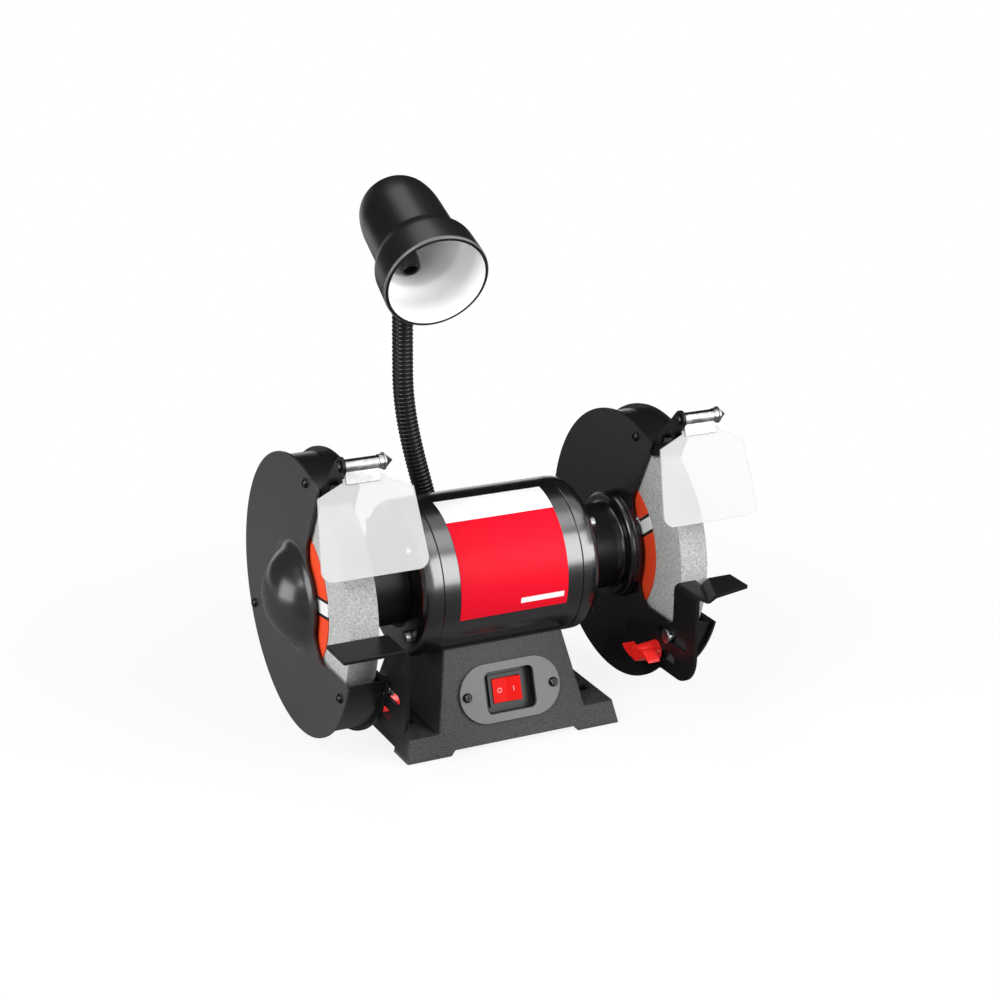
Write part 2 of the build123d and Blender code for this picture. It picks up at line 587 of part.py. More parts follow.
# Tie rods that hold the motor together
tie_degs = (45, 135, 225, 315)
stator_r = MOTOR_R - SHELL_WALL - FIT
stack = STACK_LENGTH / 2
stator = tube(stator_r, STATOR_BORE, -stack, stack)
tie_rods = []
for degrees in tie_degs:
    y, z = ahead(TIE_R, degrees)
    bell -= disc(TIE_DIA / 2 + FIT, bell_floor, BELL_FACE, y, z)
    stator -= disc(TIE_DIA / 2 + FIT, -stack, stack, y, z)
    rod = disc(TIE_DIA / 2, -BELL_FACE - TIE_HEAD_THICK, BELL_FACE + TIE_HEAD_THICK, y, z)
    rod += disc(TIE_HEAD / 2, BELL_FACE, BELL_FACE + TIE_HEAD_THICK, y, z)
    rod += disc(TIE_HEAD / 2, -BELL_FACE - TIE_HEAD_THICK, -BELL_FACE, y, z)
    tie_rods.append(rod)
parts["tie_rods"] = group(tie_rods)
parts["stator_core"] = stator
winding_r = STATOR_BORE + WINDING_INSET
parts["stator_windings"] = both(tube(winding_r + WINDING_THICK, winding_r, stack, stack + WINDING_LENGTH))

# Label panel curved round the front of the motor, with nothing printed on it
label_in = MOTOR_R + FIT / 2
label_span = [ahead(2 * MOTOR_R, d) for d in (LABEL_BOTTOM_DEG, LABEL_TOP_DEG)]
middle = ahead(2 * MOTOR_R, (LABEL_BOTTOM_DEG + LABEL_TOP_DEG) / 2)
wedge = make_face(Polyline((0, 0), label_span[0], middle, label_span[1], close=True))
label = (Circle(label_in + LABEL_THICK) - Circle(label_in)) & wedge
parts["label_panel"] = slab(label, -LABEL_LENGTH / 2, LABEL_LENGTH / 2)

# Rotor: shaft, core and bearings
rotor_end = bell_floor
parts["shaft"] = turned(
    [(-SHAFT_END, 0), (-SHAFT_END, ARBOR_R), (-CLAMP_BACK, ARBOR_R), (-CLAMP_BACK, SHAFT_R),
     (-rotor_end, SHAFT_R), (-rotor_end, SHAFT_MID_DIA / 2), (rotor_end, SHAFT_MID_DIA / 2),
     (rotor_end, SHAFT_R), (CLAMP_BACK, SHAFT_R), (CLAMP_BACK, ARBOR_R), (SHAFT_END, ARBOR_R),
     (SHAFT_END, 0)])
parts["rotor_core"] = tube(ROTOR_R, SHAFT_MID_DIA / 2 + FIT, -stack, stack)
parts["bearings"] = both(
    tube(BEARING_DIA / 2, SHAFT_R + RUN, BEARING_AT, BEARING_AT + BEARING_WIDTH))

# Clamping flanges, blotters, wheels, bushes and nuts
bore = ARBOR_R + FIT
parts["inner_flanges"] = both(tube(CLAMP_DIA / 2, bore, CLAMP_BACK, CLAMP_SEAT))
parts["outer_flanges"] = both(tube(CLAMP_DIA / 2, bore, CLAMP_FRONT, NUT_SEAT))
nut = hexagon(NUT_FLATS, NUT_SEAT, NUT_SEAT + NUT_THICK)
parts["arbor_nuts"] = both(nut - disc(bore, NUT_SEAT, SHAFT_END))
blotter_in = tube(BLOTTER_DIA / 2, bore, CLAMP_SEAT, WHEEL_IN)
blotter_out = tube(BLOTTER_DIA / 2, bore, WHEEL_OUT, CLAMP_FRONT)
parts["blotters"] = group([both(blotter_in), both(blotter_out)])
parts["wheel_bushes"] = both(tube(BUSH_DIA / 2, bore, WHEEL_IN, WHEEL_OUT))
wheel = tube(WHEEL_R, BUSH_DIA / 2 + FIT, WHEEL_IN, WHEEL_OUT)

# Guards: round side plates with a front opening, joined by a drum
far = 3 * GUARD_R
notch = make_face(Polyline(
    (0, 0), ahead(far, NOTCH_TOP_DEG), (-far, far), (-far, -NOTCH_BOTTOM), (0, -NOTCH_BOTTOM), close=True))
drum_notch = make_face(Polyline(
    (0, 0), ahead(far, NOTCH_TOP_DEG + DRUM_SETBACK_DEG), (-far, far), (-far, -NOTCH_BOTTOM),
    (0, -NOTCH_BOTTOM), close=True))
side_plate = Circle(GUARD_R) - notch + Circle(NOTCH_ROOT)
meet_y = -math.sqrt(NOTCH_ROOT ** 2 - NOTCH_BOTTOM ** 2)
for y, z in (ahead(NOTCH_ROOT, NOTCH_TOP_DEG), (meet_y, -NOTCH_BOTTOM)):
    side_plate = fillet(side_plate.vertices().sort_by_distance((y, z, 0))[0], NOTCH_FILLET)
drum = Circle(DRUM_OUT) - Circle(DRUM_IN) - drum_notch

# Tab on the drum's front edge for the spark arrestor, leaning forward at half a right angle
lean = math.sqrt(0.5)
bend = (-ARRESTOR_AHEAD, ARRESTOR_BEND)
back_of_bend = (bend[0] + ARRESTOR_SHEET * lean, bend[1] + ARRESTOR_SHEET * lean)


def along_tab(start, distance, off=0.0):
    """Point a distance up the tab from a start point, and off it at right angles."""
    return (start[0] + (off - distance) * lean, start[1] + (off + distance) * lean)


tab_low = along_tab(back_of_bend, 0, SLIDE)
tab = make_face(Polyline(
    ahead(DRUM_IN, NOTCH_TOP_DEG + DRUM_SETBACK_DEG), tab_low, along_tab(tab_low, TAB_LENGTH),
    along_tab(tab_low, TAB_LENGTH, GUARD_SHEET), along_tab(tab_low, GUARD_SHEET, GUARD_SHEET),
    ahead(DRUM_OUT, NOTCH_TOP_DEG + DRUM_SETBACK_DEG), close=True))

inner = slab(side_plate - Circle(WELL_R), GUARD_FACE, GUARD_INSIDE)
inner += slab(drum, GUARD_INSIDE, COVER_INSIDE)
inner += slab(tab, WHEEL_MID - TAB_WIDTH / 2, WHEEL_MID + TAB_WIDTH / 2)


def dome_line(inset):
    """Half section of the domed cover's face, moved in by an inset: points and arcs from rim to middle."""
    foot = DOME_DIA / 2
    cap_r = (foot ** 2 + DOME_HEIGHT ** 2) / (2 * DOME_HEIGHT) - DOME_FLARE
    cap_x = COVER_FACE + DOME_HEIGHT - cap_r
    flare_x = COVER_FACE + DOME_FLARE
    turn = math.atan2(foot, flare_x - cap_x)

    def on_flare(angle):
        r = DOME_FLARE + inset
        return (flare_x - r * math.cos(angle), foot - r * math.sin(angle))

    def on_cap(angle):
        r = cap_r - inset
        return (cap_x + r * math.cos(angle), r * math.sin(angle))

    rim = (COVER_FACE - inset, GUARD_R)
    line = Line(rim, on_flare(0))
    line += ThreePointArc(on_flare(0), on_flare(turn / 2), on_flare(turn))
    line += ThreePointArc(on_cap(turn), on_cap(turn / 2), on_cap(0))
    return rim, line, on_cap(0)


rim_out, line_out, crest_out = dome_line(0)
rim_in, line_in, crest_in = dome_line(GUARD_SHEET)
cover_section = line_out + line_in + Line(rim_out, rim_in) + Line(crest_out, crest_in)
cover = Pos(0, 0, AXIS) * revolve(make_face(Plane.XZ * cover_section), axis=Axis.X)
cover &= slab(side_plate, COVER_INSIDE, COVER_FACE + DOME_HEIGHT)

cover_screws = []
for degrees in COVER_SCREW_DEGS:
    y, z = ahead(COVER_BOSS_R, degrees)
    inner += disc(COVER_BOSS_DIA / 2, GUARD_INSIDE, COVER_INSIDE, y, z)
    inner -= disc(SCREW_DIA / 2 + FIT, WHEEL_MID, COVER_INSIDE, y, z)
    cover -= disc(SCREW_DIA / 2 + FIT, COVER_INSIDE, COVER_FACE, y, z)
    screw = disc(SCREW_DIA / 2, WHEEL_MID + FIT, COVER_FACE + SCREW_HEAD_THICK, y, z)
    cover_screws.append(screw + disc(SCREW_HEAD_DIA / 2, COVER_FACE, COVER_FACE + SCREW_HEAD_THICK, y, z))
y, z = ahead(COVER_BOSS_R, COVER_SCREW_DEGS[0])
inner -= disc(SCREW_DIA / 2 + FIT, GUARD_FACE, WHEEL_MID, y, z)
cover_screws.append(mirror(cover_screws[0], about=Plane.YZ.offset(WHEEL_MID)))
parts["cover_screws"] = both(group(cover_screws))

guard_bolts = []
for degrees in tie_degs:
    y, z = ahead(GUARD_BOLT_R, degrees)
    hole = disc(GUARD_BOLT_DIA / 2 + FIT, GUARD_INSIDE - GUARD_BOLT_LENGTH, GUARD_INSIDE, y, z)
    inner -= hole
    bell -= hole
    bolt = disc(GUARD_BOLT_DIA / 2, FIT + GUARD_INSIDE - GUARD_BOLT_LENGTH, GUARD_INSIDE, y, z)
    bolt += disc(GUARD_BOLT_HEAD / 2, GUARD_INSIDE, GUARD_INSIDE + GUARD_BOLT_HEAD_THICK, y, z)
    guard_bolts.append(bolt)
parts["guard_bolts"] = both(group(guard_bolts))

# Bolts and guide screws on the guard that carry the tool rests
bolt_start = REST_BACK - KNOB_HUB_LENGTH + KNOB_BOLT_DIA / 2
rest_bolt = disc(KNOB_BOLT_DIA / 2, bolt_start, GUARD_INSIDE, KNOB_Y, -KNOB_DROP)
rest_bolt += disc(
    KNOB_BOLT_HEAD / 2, GUARD_INSIDE, GUARD_INSIDE + KNOB_BOLT_HEAD_THICK, KNOB_Y, -KNOB_DROP)
inner -= disc(KNOB_BOLT_DIA / 2 + FIT, GUARD_FACE, GUARD_INSIDE, KNOB_Y, -KNOB_DROP)
guide = disc(GUIDE_DIA / 2, REST_BACK - SLIDE, GUARD_INSIDE, GUIDE_Y, -GUIDE_DROP)
guide += disc(
    GUIDE_HEAD / 2, REST_BACK - SLIDE - GUIDE_HEAD_THICK, REST_BACK - SLIDE, GUIDE_Y, -GUIDE_DROP)
inner -= disc(GUIDE_DIA / 2 + FIT, GUARD_FACE, GUARD_INSIDE, GUIDE_Y, -GUIDE_DROP)
parts["rest_bolts"] = both(rest_bolt)
parts["guide_screws"] = both(guide)

# Wing knob: a hub with two swept wings
knob_face = REST_BACK - SLIDE
knob_back = knob_face - KNOB_HUB_LENGTH
tip = KNOB_SPAN / 2
wing_half = KNOB_WING_THICK / 2
wing = make_face(
    Spline((0, wing_half), (tip / 2, wing_half * 0.9), (tip, wing_half * 1.5))
    + Line((tip, wing_half * 1.5), (tip * 0.97, wing_half * 0.7))
    + Spline((tip * 0.97, wing_half * 0.7), (tip / 2, -wing_half * 0.8), (0, -wing_half))
    + Line((0, -wing_half), (0, wing_half)))
wings = wing + Rot(0, 0, 180) * wing
spot = Pos(KNOB_Y, -KNOB_DROP)
hub = slab(spot * Circle(KNOB_HUB_DIA / 2), knob_back, knob_face)
knobs = {}
for name, degrees in KNOB_TURN_DEGS.items():
    knob = hub + slab(spot * Rot(0, 0, degrees) * wings, knob_back, knob_back + KNOB_WING_DEPTH)
    knobs[name] = knob - disc(KNOB_BOLT_DIA / 2 + RUN, bolt_start - RUN, knob_face, KNOB_Y, -KNOB_DROP)

# Tool rest: slotted foot, arm and table bent from one sheet
foot_back = TABLE_FRONT + FOOT_REACH
table_top = -TABLE_DROP
rest_side = outline(
    [(TABLE_FRONT, table_top), (TABLE_FRONT, -FOOT_BOTTOM), (foot_back, -FOOT_BOTTOM),
     (foot_back, -FOOT_TOP_BACK), (TABLE_BACK, -FOOT_TOP_FRONT), (TABLE_BACK, table_top)],
    {1: FOOT_FRONT_ROUND, 2: FOOT_BACK_ROUND, 3: FOOT_BACK_ROUND, 4: ARM_ROUND})
for y, drop, dia in ((KNOB_Y, KNOB_DROP, KNOB_BOLT_DIA), (GUIDE_Y, GUIDE_DROP, GUIDE_DIA)):
    slot = SlotCenterToCenter(REST_OUT + REST_SLOT_SPARE, dia + 2 * SLOT_PLAY)
    rest_side -= Pos(y + (REST_OUT - REST_SLOT_SPARE) / 2, -drop) * slot
arm = slab(rest_side, REST_BACK, REST_FACE)
table = Pos(REST_BACK, TABLE_FRONT, AXIS + table_top) * Box(
    TABLE_REACH, TABLE_DEPTH, REST_SHEET, align=(Align.MIN, Align.MIN, Align.MAX))
plain_rest = arm + table
bend_at = (REST_BACK, TABLE_FRONT, AXIS + table_top)
plain_rest = fillet(plain_rest.edges().filter_by(Axis.Y).sort_by_distance(bend_at)[0], REST_BEND)

# The right rest has a slanting groove for holding drills
groove_in = GROOVE_WIDTH / 2
groove_at = REST_BACK + REST_SHEET + GROOVE_START
groove = make_face(Polyline(
    (-groove_in, 0), (-groove_in, -REST_SHEET), (-REST_SHEET / 2, -GROOVE_DEPTH - REST_SHEET / 2),
    (REST_SHEET / 2, -GROOVE_DEPTH - REST_SHEET / 2), (groove_in, -REST_SHEET), (groove_in, 0),
    (groove_in - REST_SHEET / 2, 0), (0, -GROOVE_DEPTH), (REST_SHEET / 2 - groove_in, 0), close=True))
gap = make_face(Polyline(
    (REST_SHEET / 2 - groove_in, 0), (REST_SHEET / 2 - groove_in, -REST_SHEET),
    (groove_in - REST_SHEET / 2, -REST_SHEET), (groove_in - REST_SHEET / 2, 0), close=True))
groove_run = Vector(GROOVE_SKEW, TABLE_DEPTH, 0)
groove_plane = Plane(origin=(groove_at, TABLE_FRONT, AXIS + table_top), x_dir=(1, 0, 0), z_dir=(0, -1, 0))
grooved_rest = plain_rest - extrude(groove_plane * gap, amount=groove_run.length, dir=groove_run)
grooved_rest += extrude(groove_plane * groove, amount=groove_run.length, dir=groove_run)

corner_x = REST_BACK + TABLE_REACH
trim = make_face(Polyline(
    (corner_x, TABLE_FRONT), (corner_x, TABLE_FRONT + TRIM_DEPTH), (corner_x - TRIM_LENGTH, TABLE_FRONT),
    close=True))
grooved_rest -= extrude(Pos(0, 0, AXIS + table_top) * trim, amount=REST_SHEET, dir=(0, 0, -1))

for name, sign in SIDES.items():
    parts["wheel_" + name] = side(wheel, sign)
    parts["end_bell_" + name] = side(bell, sign)
    parts["guard_" + name] = side(inner, sign)
    parts["guard_cover_" + name] = side(cover, sign)
    parts["wing_knob_" + name] = side(knobs[name], sign)
parts["tool_rest_left"] = side(plain_rest, SIDES["left"])
parts["tool_rest_right"] = grooved_rest

# Spark arrestor with its ear, pivot bolt, cone nut, clip and eye shield, drawn about one wheel's middle
arrestor_half = ARRESTOR_WIDTH / 2
tongue_back = bend[0] + ARRESTOR_SHEET
tongue_low = math.sqrt((WHEEL_R + ARRESTOR_GAP) ** 2 - tongue_back ** 2)
top = along_tab(bend, ARRESTOR_LENGTH)
inside_bend = (tongue_back, back_of_bend[1] - (tongue_back - back_of_bend[0]))
strip = make_face(Polyline(
    (bend[0], tongue_low), bend, top, along_tab(top, 0, ARRESTOR_SHEET), inside_bend,
    (tongue_back, tongue_low), close=True))
arrestor = slab(strip, -arrestor_half, arrestor_half)
pivot_yz = (-PIVOT_AHEAD, PIVOT_RISE)
ear_root = along_tab(bend, ARRESTOR_LENGTH / 2, ARRESTOR_SHEET)
ear = make_face(make_hull([
    *(Pos(*pivot_yz) * Circle(EAR_DIA / 2)).edges(),
    Line(ear_root, along_tab(top, 0, ARRESTOR_SHEET))]))
arrestor += slab(ear, -arrestor_half, ARRESTOR_SHEET - arrestor_half)
arrestor -= disc(PIVOT_DIA / 2 + FIT, -arrestor_half, 0, *pivot_yz)

# Slots in the arrestor and screws through them into the drum's tab
tab_face = Plane(
    origin=(0, bend[0], AXIS + bend[1]), x_dir=(1, 0, 0), z_dir=(0, -lean, -lean))
tab_screws = []
for x in (-TAB_SCREW_SPACING / 2, TAB_SCREW_SPACING / 2):
    spot = Pos(x, TAB_SCREW_AT)
    slot = SlotCenterToCenter(ARRESTOR_LIFT + 2 * SLOT_PLAY, SCREW_DIA + 2 * SLOT_PLAY, rotation=90)
    arrestor -= extrude(
        tab_face.offset(-2 * ARRESTOR_SHEET) * Pos(x, TAB_SCREW_AT - ARRESTOR_LIFT / 2) * slot,
        amount=4 * ARRESTOR_SHEET)
    through = ARRESTOR_SHEET + SLIDE + GUARD_SHEET
    screw = extrude(tab_face.offset(-through) * spot * Circle(SCREW_DIA / 2), amount=through + SLIDE)
    screw += extrude(tab_face.offset(SLIDE) * spot * Circle(SCREW_HEAD_DIA / 2), amount=SCREW_HEAD_THICK)
    tab_screws.append(screw)

clip_end = CLIP_START + CLIP_LENGTH
cone_start = clip_end + CLEAR
pivot_bolt = disc(PIVOT_DIA / 2, -arrestor_half - PIVOT_HEAD_THICK, cone_start + CONE_COLLAR, *pivot_yz)
pivot_bolt += disc(PIVOT_HEAD / 2, -arrestor_half - PIVOT_HEAD_THICK, -arrestor_half, *pivot_yz)
cone = disc(CONE_BASE_DIA / 2, cone_start, cone_start + CONE_COLLAR, *pivot_yz)
tip_at = Pos(cone_start + CONE_COLLAR, pivot_yz[0], AXIS + pivot_yz[1])
cone += tip_at * Rot(0, 90, 0) * Cone(
    CONE_BASE_DIA / 2, CLIP_SHEET / 2, CONE_LENGTH, align=(Align.CENTER, Align.CENTER, Align.MIN))
cone -= disc(PIVOT_DIA / 2 + FIT, cone_start, cone_start + CONE_COLLAR + FIT, *pivot_yz)

shield_down = Rot(0, 0, -SHIELD_LEAN)
hang = Pos(*pivot_yz) * shield_down
jaw_half = SHIELD_SHEET / 2 + FIT + CLIP_SHEET
jaw_length = CLIP_DIA / 2 + CLIP_JAW
clip_shape = hang * (Circle(CLIP_DIA / 2) + Pos(0, -jaw_length / 2) * Rectangle(2 * jaw_half, jaw_length))
clip = slab(clip_shape, CLIP_START, clip_end)
clip -= disc(PIVOT_DIA / 2 + RUN, CLIP_START, clip_end, *pivot_yz)
jaw_gap = jaw_length - SHIELD_NECK_START + FIT
clip -= slab(
    hang * Pos(0, FIT - SHIELD_NECK_START - jaw_gap / 2) * Rectangle(SHIELD_SHEET + 2 * FIT, jaw_gap),
    CLIP_START, clip_end)
neck = SHIELD_NECK_WIDTH / 2
stem = CLIP_LENGTH / 2 - SHIELD_SHIFT
shoulder = SHIELD_SHOULDER_WIDTH / 2
hem = SHIELD_BOTTOM_WIDTH / 2
shield_points = [
    (stem, -SHIELD_NECK_START), (stem, -SHIELD_EAR_CLEAR), (neck, -SHIELD_EAR_CLEAR),
    (neck, -SHIELD_NECK_LENGTH), (shoulder, -SHIELD_SHOULDER_AT), (hem, -SHIELD_LENGTH),
    (-hem, -SHIELD_LENGTH), (-shoulder, -SHIELD_SHOULDER_AT), (-neck, -SHIELD_NECK_LENGTH),
    (-neck, -SHIELD_EAR_CLEAR), (-stem, -SHIELD_EAR_CLEAR), (-stem, -SHIELD_NECK_START)]
shield_face = outline(shield_points, {5: SHIELD_ROUND, 6: SHIELD_ROUND})
shield_turn = math.radians(SHIELD_LEAN)
shield_plane = Plane(
    origin=(SHIELD_MID, pivot_yz[0], AXIS + pivot_yz[1]), x_dir=(1, 0, 0),
    z_dir=(0, -math.cos(shield_turn), math.sin(shield_turn)))
shield = extrude(shield_plane * shield_face, amount=SHIELD_SHEET / 2, both=True)

arrestor_screws = []
for name, sign in SIDES.items():
    place = Pos(sign * WHEEL_MID, 0, 0)
    parts["spark_arrestor_" + name] = place * arrestor
    parts["shield_clip_" + name] = place * clip
    parts["eye_shield_" + name] = place * shield
    parts["shield_pivot_" + name] = place * pivot_bolt
    parts["cone_nut_" + name] = place * cone
    arrestor_screws += [place * screw for screw in tab_screws]
    for screw_place in (-TAB_SCREW_SPACING / 2, TAB_SCREW_SPACING / 2):
        drill = extrude(
            tab_face.offset(-2 * through) * Pos(screw_place, TAB_SCREW_AT) * Circle(SCREW_DIA / 2 + FIT),
            amount=2 * through)
        parts["guard_" + name] -= place * drill
parts["arrestor_screws"] = group(arrestor_screws)

# Lamp: socket nut on the boss, ribbed flexible neck, ferrule, shade and lamp holder
neck_start = boss_top + SOCKET_NUT + SOCKET_COLLAR
socket_hexagon = RegularPolygon(SOCKET_FLATS / 2, 6, major_radius=False)
socket = Pos(0, LAMP_Y, boss_top) * extrude(socket_hexagon, SOCKET_NUT)
socket += Pos(0, LAMP_Y, boss_top + SOCKET_NUT) * Cylinder(
    SOCKET_COLLAR_DIA / 2, SOCKET_COLLAR, align=(Align.CENTER, Align.CENTER, Align.MIN))
socket += Pos(0, LAMP_Y, boss_top) * Cylinder(
    SOCKET_STUD_DIA / 2, SOCKET_STUD, align=(Align.CENTER, Align.CENTER, Align.MAX))
parts["lamp_socket"] = socket


def hose_ring(z, radius):
    """Circle across the neck at a height: the neck sweeps sideways in a half wave."""
    t = min(max((z - HOSE_BEND_START) / (HOSE_BEND_END - HOSE_BEND_START), 0.0), 1.0)
    x = -HOSE_LEAN * (1 - math.cos(math.pi * t)) / 2
    slope = -HOSE_LEAN * math.pi * math.sin(math.pi * t) / 2 / (HOSE_BEND_END - HOSE_BEND_START)
    return Plane(origin=(x, LAMP_Y, z), x_dir=(0, 1, 0), z_dir=(slope, 0, 1)) * Circle(radius)


def hose(z0, z1):
    """Ribbed hose with a bore: every rib is a ruled loft through four circles."""
    ribs = max(round((z1 - z0) / HOSE_PITCH), 1)
    pitch = (z1 - z0) / ribs
    profile = ((0.0, HOSE_ROOT_DIA), (0.2, HOSE_DIA), (0.55, HOSE_DIA), (0.75, HOSE_ROOT_DIA))
    rings = [hose_ring(z0 + (i + t) * pitch, d / 2) for i in range(ribs) for t, d in profile]
    rings.append(hose_ring(z1, HOSE_ROOT_DIA / 2))
    holes = [hose_ring(z0 + i * pitch, HOSE_BORE / 2) for i in range(ribs + 1)]
    return loft(rings, ruled=True) - loft(holes, ruled=True)


parts["neck_lower"] = hose(neck_start, HOSE_SPLIT)
parts["neck_upper"] = hose(HOSE_SPLIT, HOSE_TOP)
neck_x = -HOSE_LEAN
stand = (Align.CENTER, Align.CENTER, Align.MIN)
ferrule_top = HOSE_TOP + FERRULE_LENGTH
ferrule = Pos(neck_x, LAMP_Y, HOSE_TOP) * Cylinder(FERRULE_DIA / 2, FERRULE_LENGTH, align=stand)
ferrule += Pos(neck_x, LAMP_Y, ferrule_top) * Cylinder(SWIVEL_DIA / 2, SWIVEL_LENGTH, align=stand)
parts["lamp_ferrule"] = ferrule

drop = math.radians(SHADE_DROP_DEG)
turn = math.radians(SHADE_TURN_DEG)
look = Vector(-math.sin(turn) * math.cos(drop), -math.cos(turn) * math.cos(drop), -math.sin(drop))
body_r_here = SHADE_BODY_DIA / 2 - (SHADE_BODY_DIA - SHADE_NECK_DIA) / 2 * (
    (SHADE_BEHIND - SHADE_SHOULDER) / (SHADE_BODY_END - SHADE_SHOULDER))
under = Vector(look.X * math.tan(drop), look.Y * math.tan(drop), math.cos(drop)).normalized()
spigot_low = ferrule_top + SLIDE
entry = Vector(neck_x, LAMP_Y, spigot_low + SPIGOT_DIA / 2)
mouth = entry + look * SHADE_BEHIND + under * body_r_here
shade_frame = Plane(origin=mouth, x_dir=(0, 0, 1), z_dir=-look)


def shade_solid(inset, mouth_r):
    """Lamp shade as a solid of revolution, taken in all round by an inset."""
    skirt_r = SHADE_SKIRT_DIA / 2 - inset
    shoulder_r = SHADE_SHOULDER_DIA / 2 - inset
    body_r = SHADE_BODY_DIA / 2 - inset
    neck_r = SHADE_NECK_DIA / 2 - inset
    crown_r = SHADE_CROWN_DIA / 2 - inset
    length = SHADE_LENGTH - inset
    middle = ((neck_r + crown_r) / 2 + (neck_r - crown_r) * 0.2,
              (SHADE_BODY_END + length) / 2 + (length - SHADE_BODY_END) * 0.2)
    edge = Polyline((0, 0), (mouth_r, 0), (skirt_r, SHADE_SKIRT - inset),
                    (shoulder_r, SHADE_SHOULDER - inset), (body_r, SHADE_SHOULDER + SHADE_STEP - inset),
                    (neck_r, SHADE_BODY_END))
    edge += ThreePointArc((neck_r, SHADE_BODY_END), middle, (crown_r, length))
    edge += Polyline((crown_r, length), (0, length), (0, 0))
    return revolve(make_face(Plane.XZ * edge), axis=Axis.Z)


hollow = shade_solid(SHADE_WALL, SHADE_MOUTH_DIA / 2 - SHADE_RIM)
shade_outside = shade_solid(0, SHADE_MOUTH_DIA / 2)
spigot = Pos(neck_x, LAMP_Y, spigot_low) * Cylinder(SPIGOT_DIA / 2, SPIGOT_DIA * 2, align=stand)
shade = shade_frame * (shade_outside - hollow)
swivel_hole = Pos(neck_x, LAMP_Y, spigot_low) * Cylinder(SWIVEL_DIA / 2 + RUN, SPIGOT_DIA * 2, align=stand)
shade = shade + (spigot - shade_frame * shade_outside) - swivel_hole
parts["lamp_shade"] = shade

holder_top = shade_frame * Pos(0, 0, SHADE_LENGTH - SHADE_WALL)
holder_pose = holder_top * Rot(0, 180 + HOLDER_LEAN, 0)
holder = Pos(0, 0, -HOLDER_WALL) * Cylinder(HOLDER_DIA / 2, HOLDER_LENGTH + HOLDER_WALL, align=stand)
holder -= Pos(0, 0, HOLDER_LENGTH - HOLDER_CUP) * Cylinder(
    HOLDER_DIA / 2 - HOLDER_WALL, HOLDER_CUP, align=stand)
parts["lamp_holder"] = holder_pose * holder - holder_top * Box(
    SHADE_BODY_DIA, SHADE_BODY_DIA, SHADE_LENGTH, align=stand)
parts["lamp_contact"] = holder_pose * Pos(0, 0, HOLDER_LENGTH - HOLDER_CUP) * Cylinder(
    CONTACT_DIA / 2, CONTACT_THICK, align=stand)

os.makedirs("parts", exist_ok=True)
for name, shape in parts.items():
    export_step(shape, "parts/" + name + ".step")
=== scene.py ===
import json
import math

import bmesh
import bpy
from mathutils import Matrix, Vector
from mathutils.bvhtree import BVHTree

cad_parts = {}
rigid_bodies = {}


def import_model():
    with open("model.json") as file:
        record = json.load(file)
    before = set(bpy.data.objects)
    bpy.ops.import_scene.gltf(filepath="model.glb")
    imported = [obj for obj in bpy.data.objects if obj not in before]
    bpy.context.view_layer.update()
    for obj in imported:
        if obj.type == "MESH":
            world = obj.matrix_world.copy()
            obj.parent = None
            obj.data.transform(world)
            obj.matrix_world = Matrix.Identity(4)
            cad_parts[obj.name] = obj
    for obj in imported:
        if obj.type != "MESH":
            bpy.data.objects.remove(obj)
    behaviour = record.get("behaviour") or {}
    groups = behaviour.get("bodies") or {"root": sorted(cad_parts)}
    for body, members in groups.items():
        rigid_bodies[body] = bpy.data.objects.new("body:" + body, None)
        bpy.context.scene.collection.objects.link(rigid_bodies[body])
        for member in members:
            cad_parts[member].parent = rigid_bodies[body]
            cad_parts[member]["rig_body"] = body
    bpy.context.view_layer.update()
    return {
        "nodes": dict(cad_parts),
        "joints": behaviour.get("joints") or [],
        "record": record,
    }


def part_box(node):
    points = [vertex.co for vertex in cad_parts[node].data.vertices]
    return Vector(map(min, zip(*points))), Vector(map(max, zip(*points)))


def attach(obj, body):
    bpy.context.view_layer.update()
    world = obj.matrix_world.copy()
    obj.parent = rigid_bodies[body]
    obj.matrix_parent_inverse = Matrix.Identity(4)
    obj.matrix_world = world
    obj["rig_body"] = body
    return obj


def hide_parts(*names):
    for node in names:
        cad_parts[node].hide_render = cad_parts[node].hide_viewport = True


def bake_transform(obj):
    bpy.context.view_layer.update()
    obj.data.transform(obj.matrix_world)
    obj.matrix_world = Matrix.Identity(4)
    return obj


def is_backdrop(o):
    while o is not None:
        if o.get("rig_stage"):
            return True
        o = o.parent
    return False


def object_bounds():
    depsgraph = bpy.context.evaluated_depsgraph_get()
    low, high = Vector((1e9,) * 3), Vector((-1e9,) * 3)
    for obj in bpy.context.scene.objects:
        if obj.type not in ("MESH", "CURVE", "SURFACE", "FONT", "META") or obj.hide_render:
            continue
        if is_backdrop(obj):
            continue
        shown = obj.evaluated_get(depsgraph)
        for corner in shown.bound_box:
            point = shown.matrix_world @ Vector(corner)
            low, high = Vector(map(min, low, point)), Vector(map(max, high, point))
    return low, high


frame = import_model()
scene = bpy.context.scene
scene.view_settings.view_transform = "Standard"
joint = {row["name"]: row for row in frame["joints"]}

# Studio: a long lens from the front left, a pale floor, five soft boxes, and dark cards and mats that
# only reflections see. The world is white where the camera, a reflection or a clear sheet sees it, and
# dimmer as a source of light.
CAMERA_AT = Vector((-0.7150, -1.4749, 0.7614))
CAMERA_TO = Vector((0.0174, 0.0, 0.1885))
CAMERA_ROLL = math.radians(0.67)
CAMERA_LENS = 76.2
AMBIENT = 0.08
FLOOR_SIZE = 24.0
FLOOR_PALE = 0.90            # floor as it is seen, and the duller floor that light bounces off
FLOOR_DULL = 0.35
FLOOR_NEAR = 0.25            # distances from the part between which the floor fades to white
FLOOR_FAR = 0.70
FLOOR_GLOW_NEAR = 0.87
MAT_RISE = 0.004
CARD_GREY = 0.01


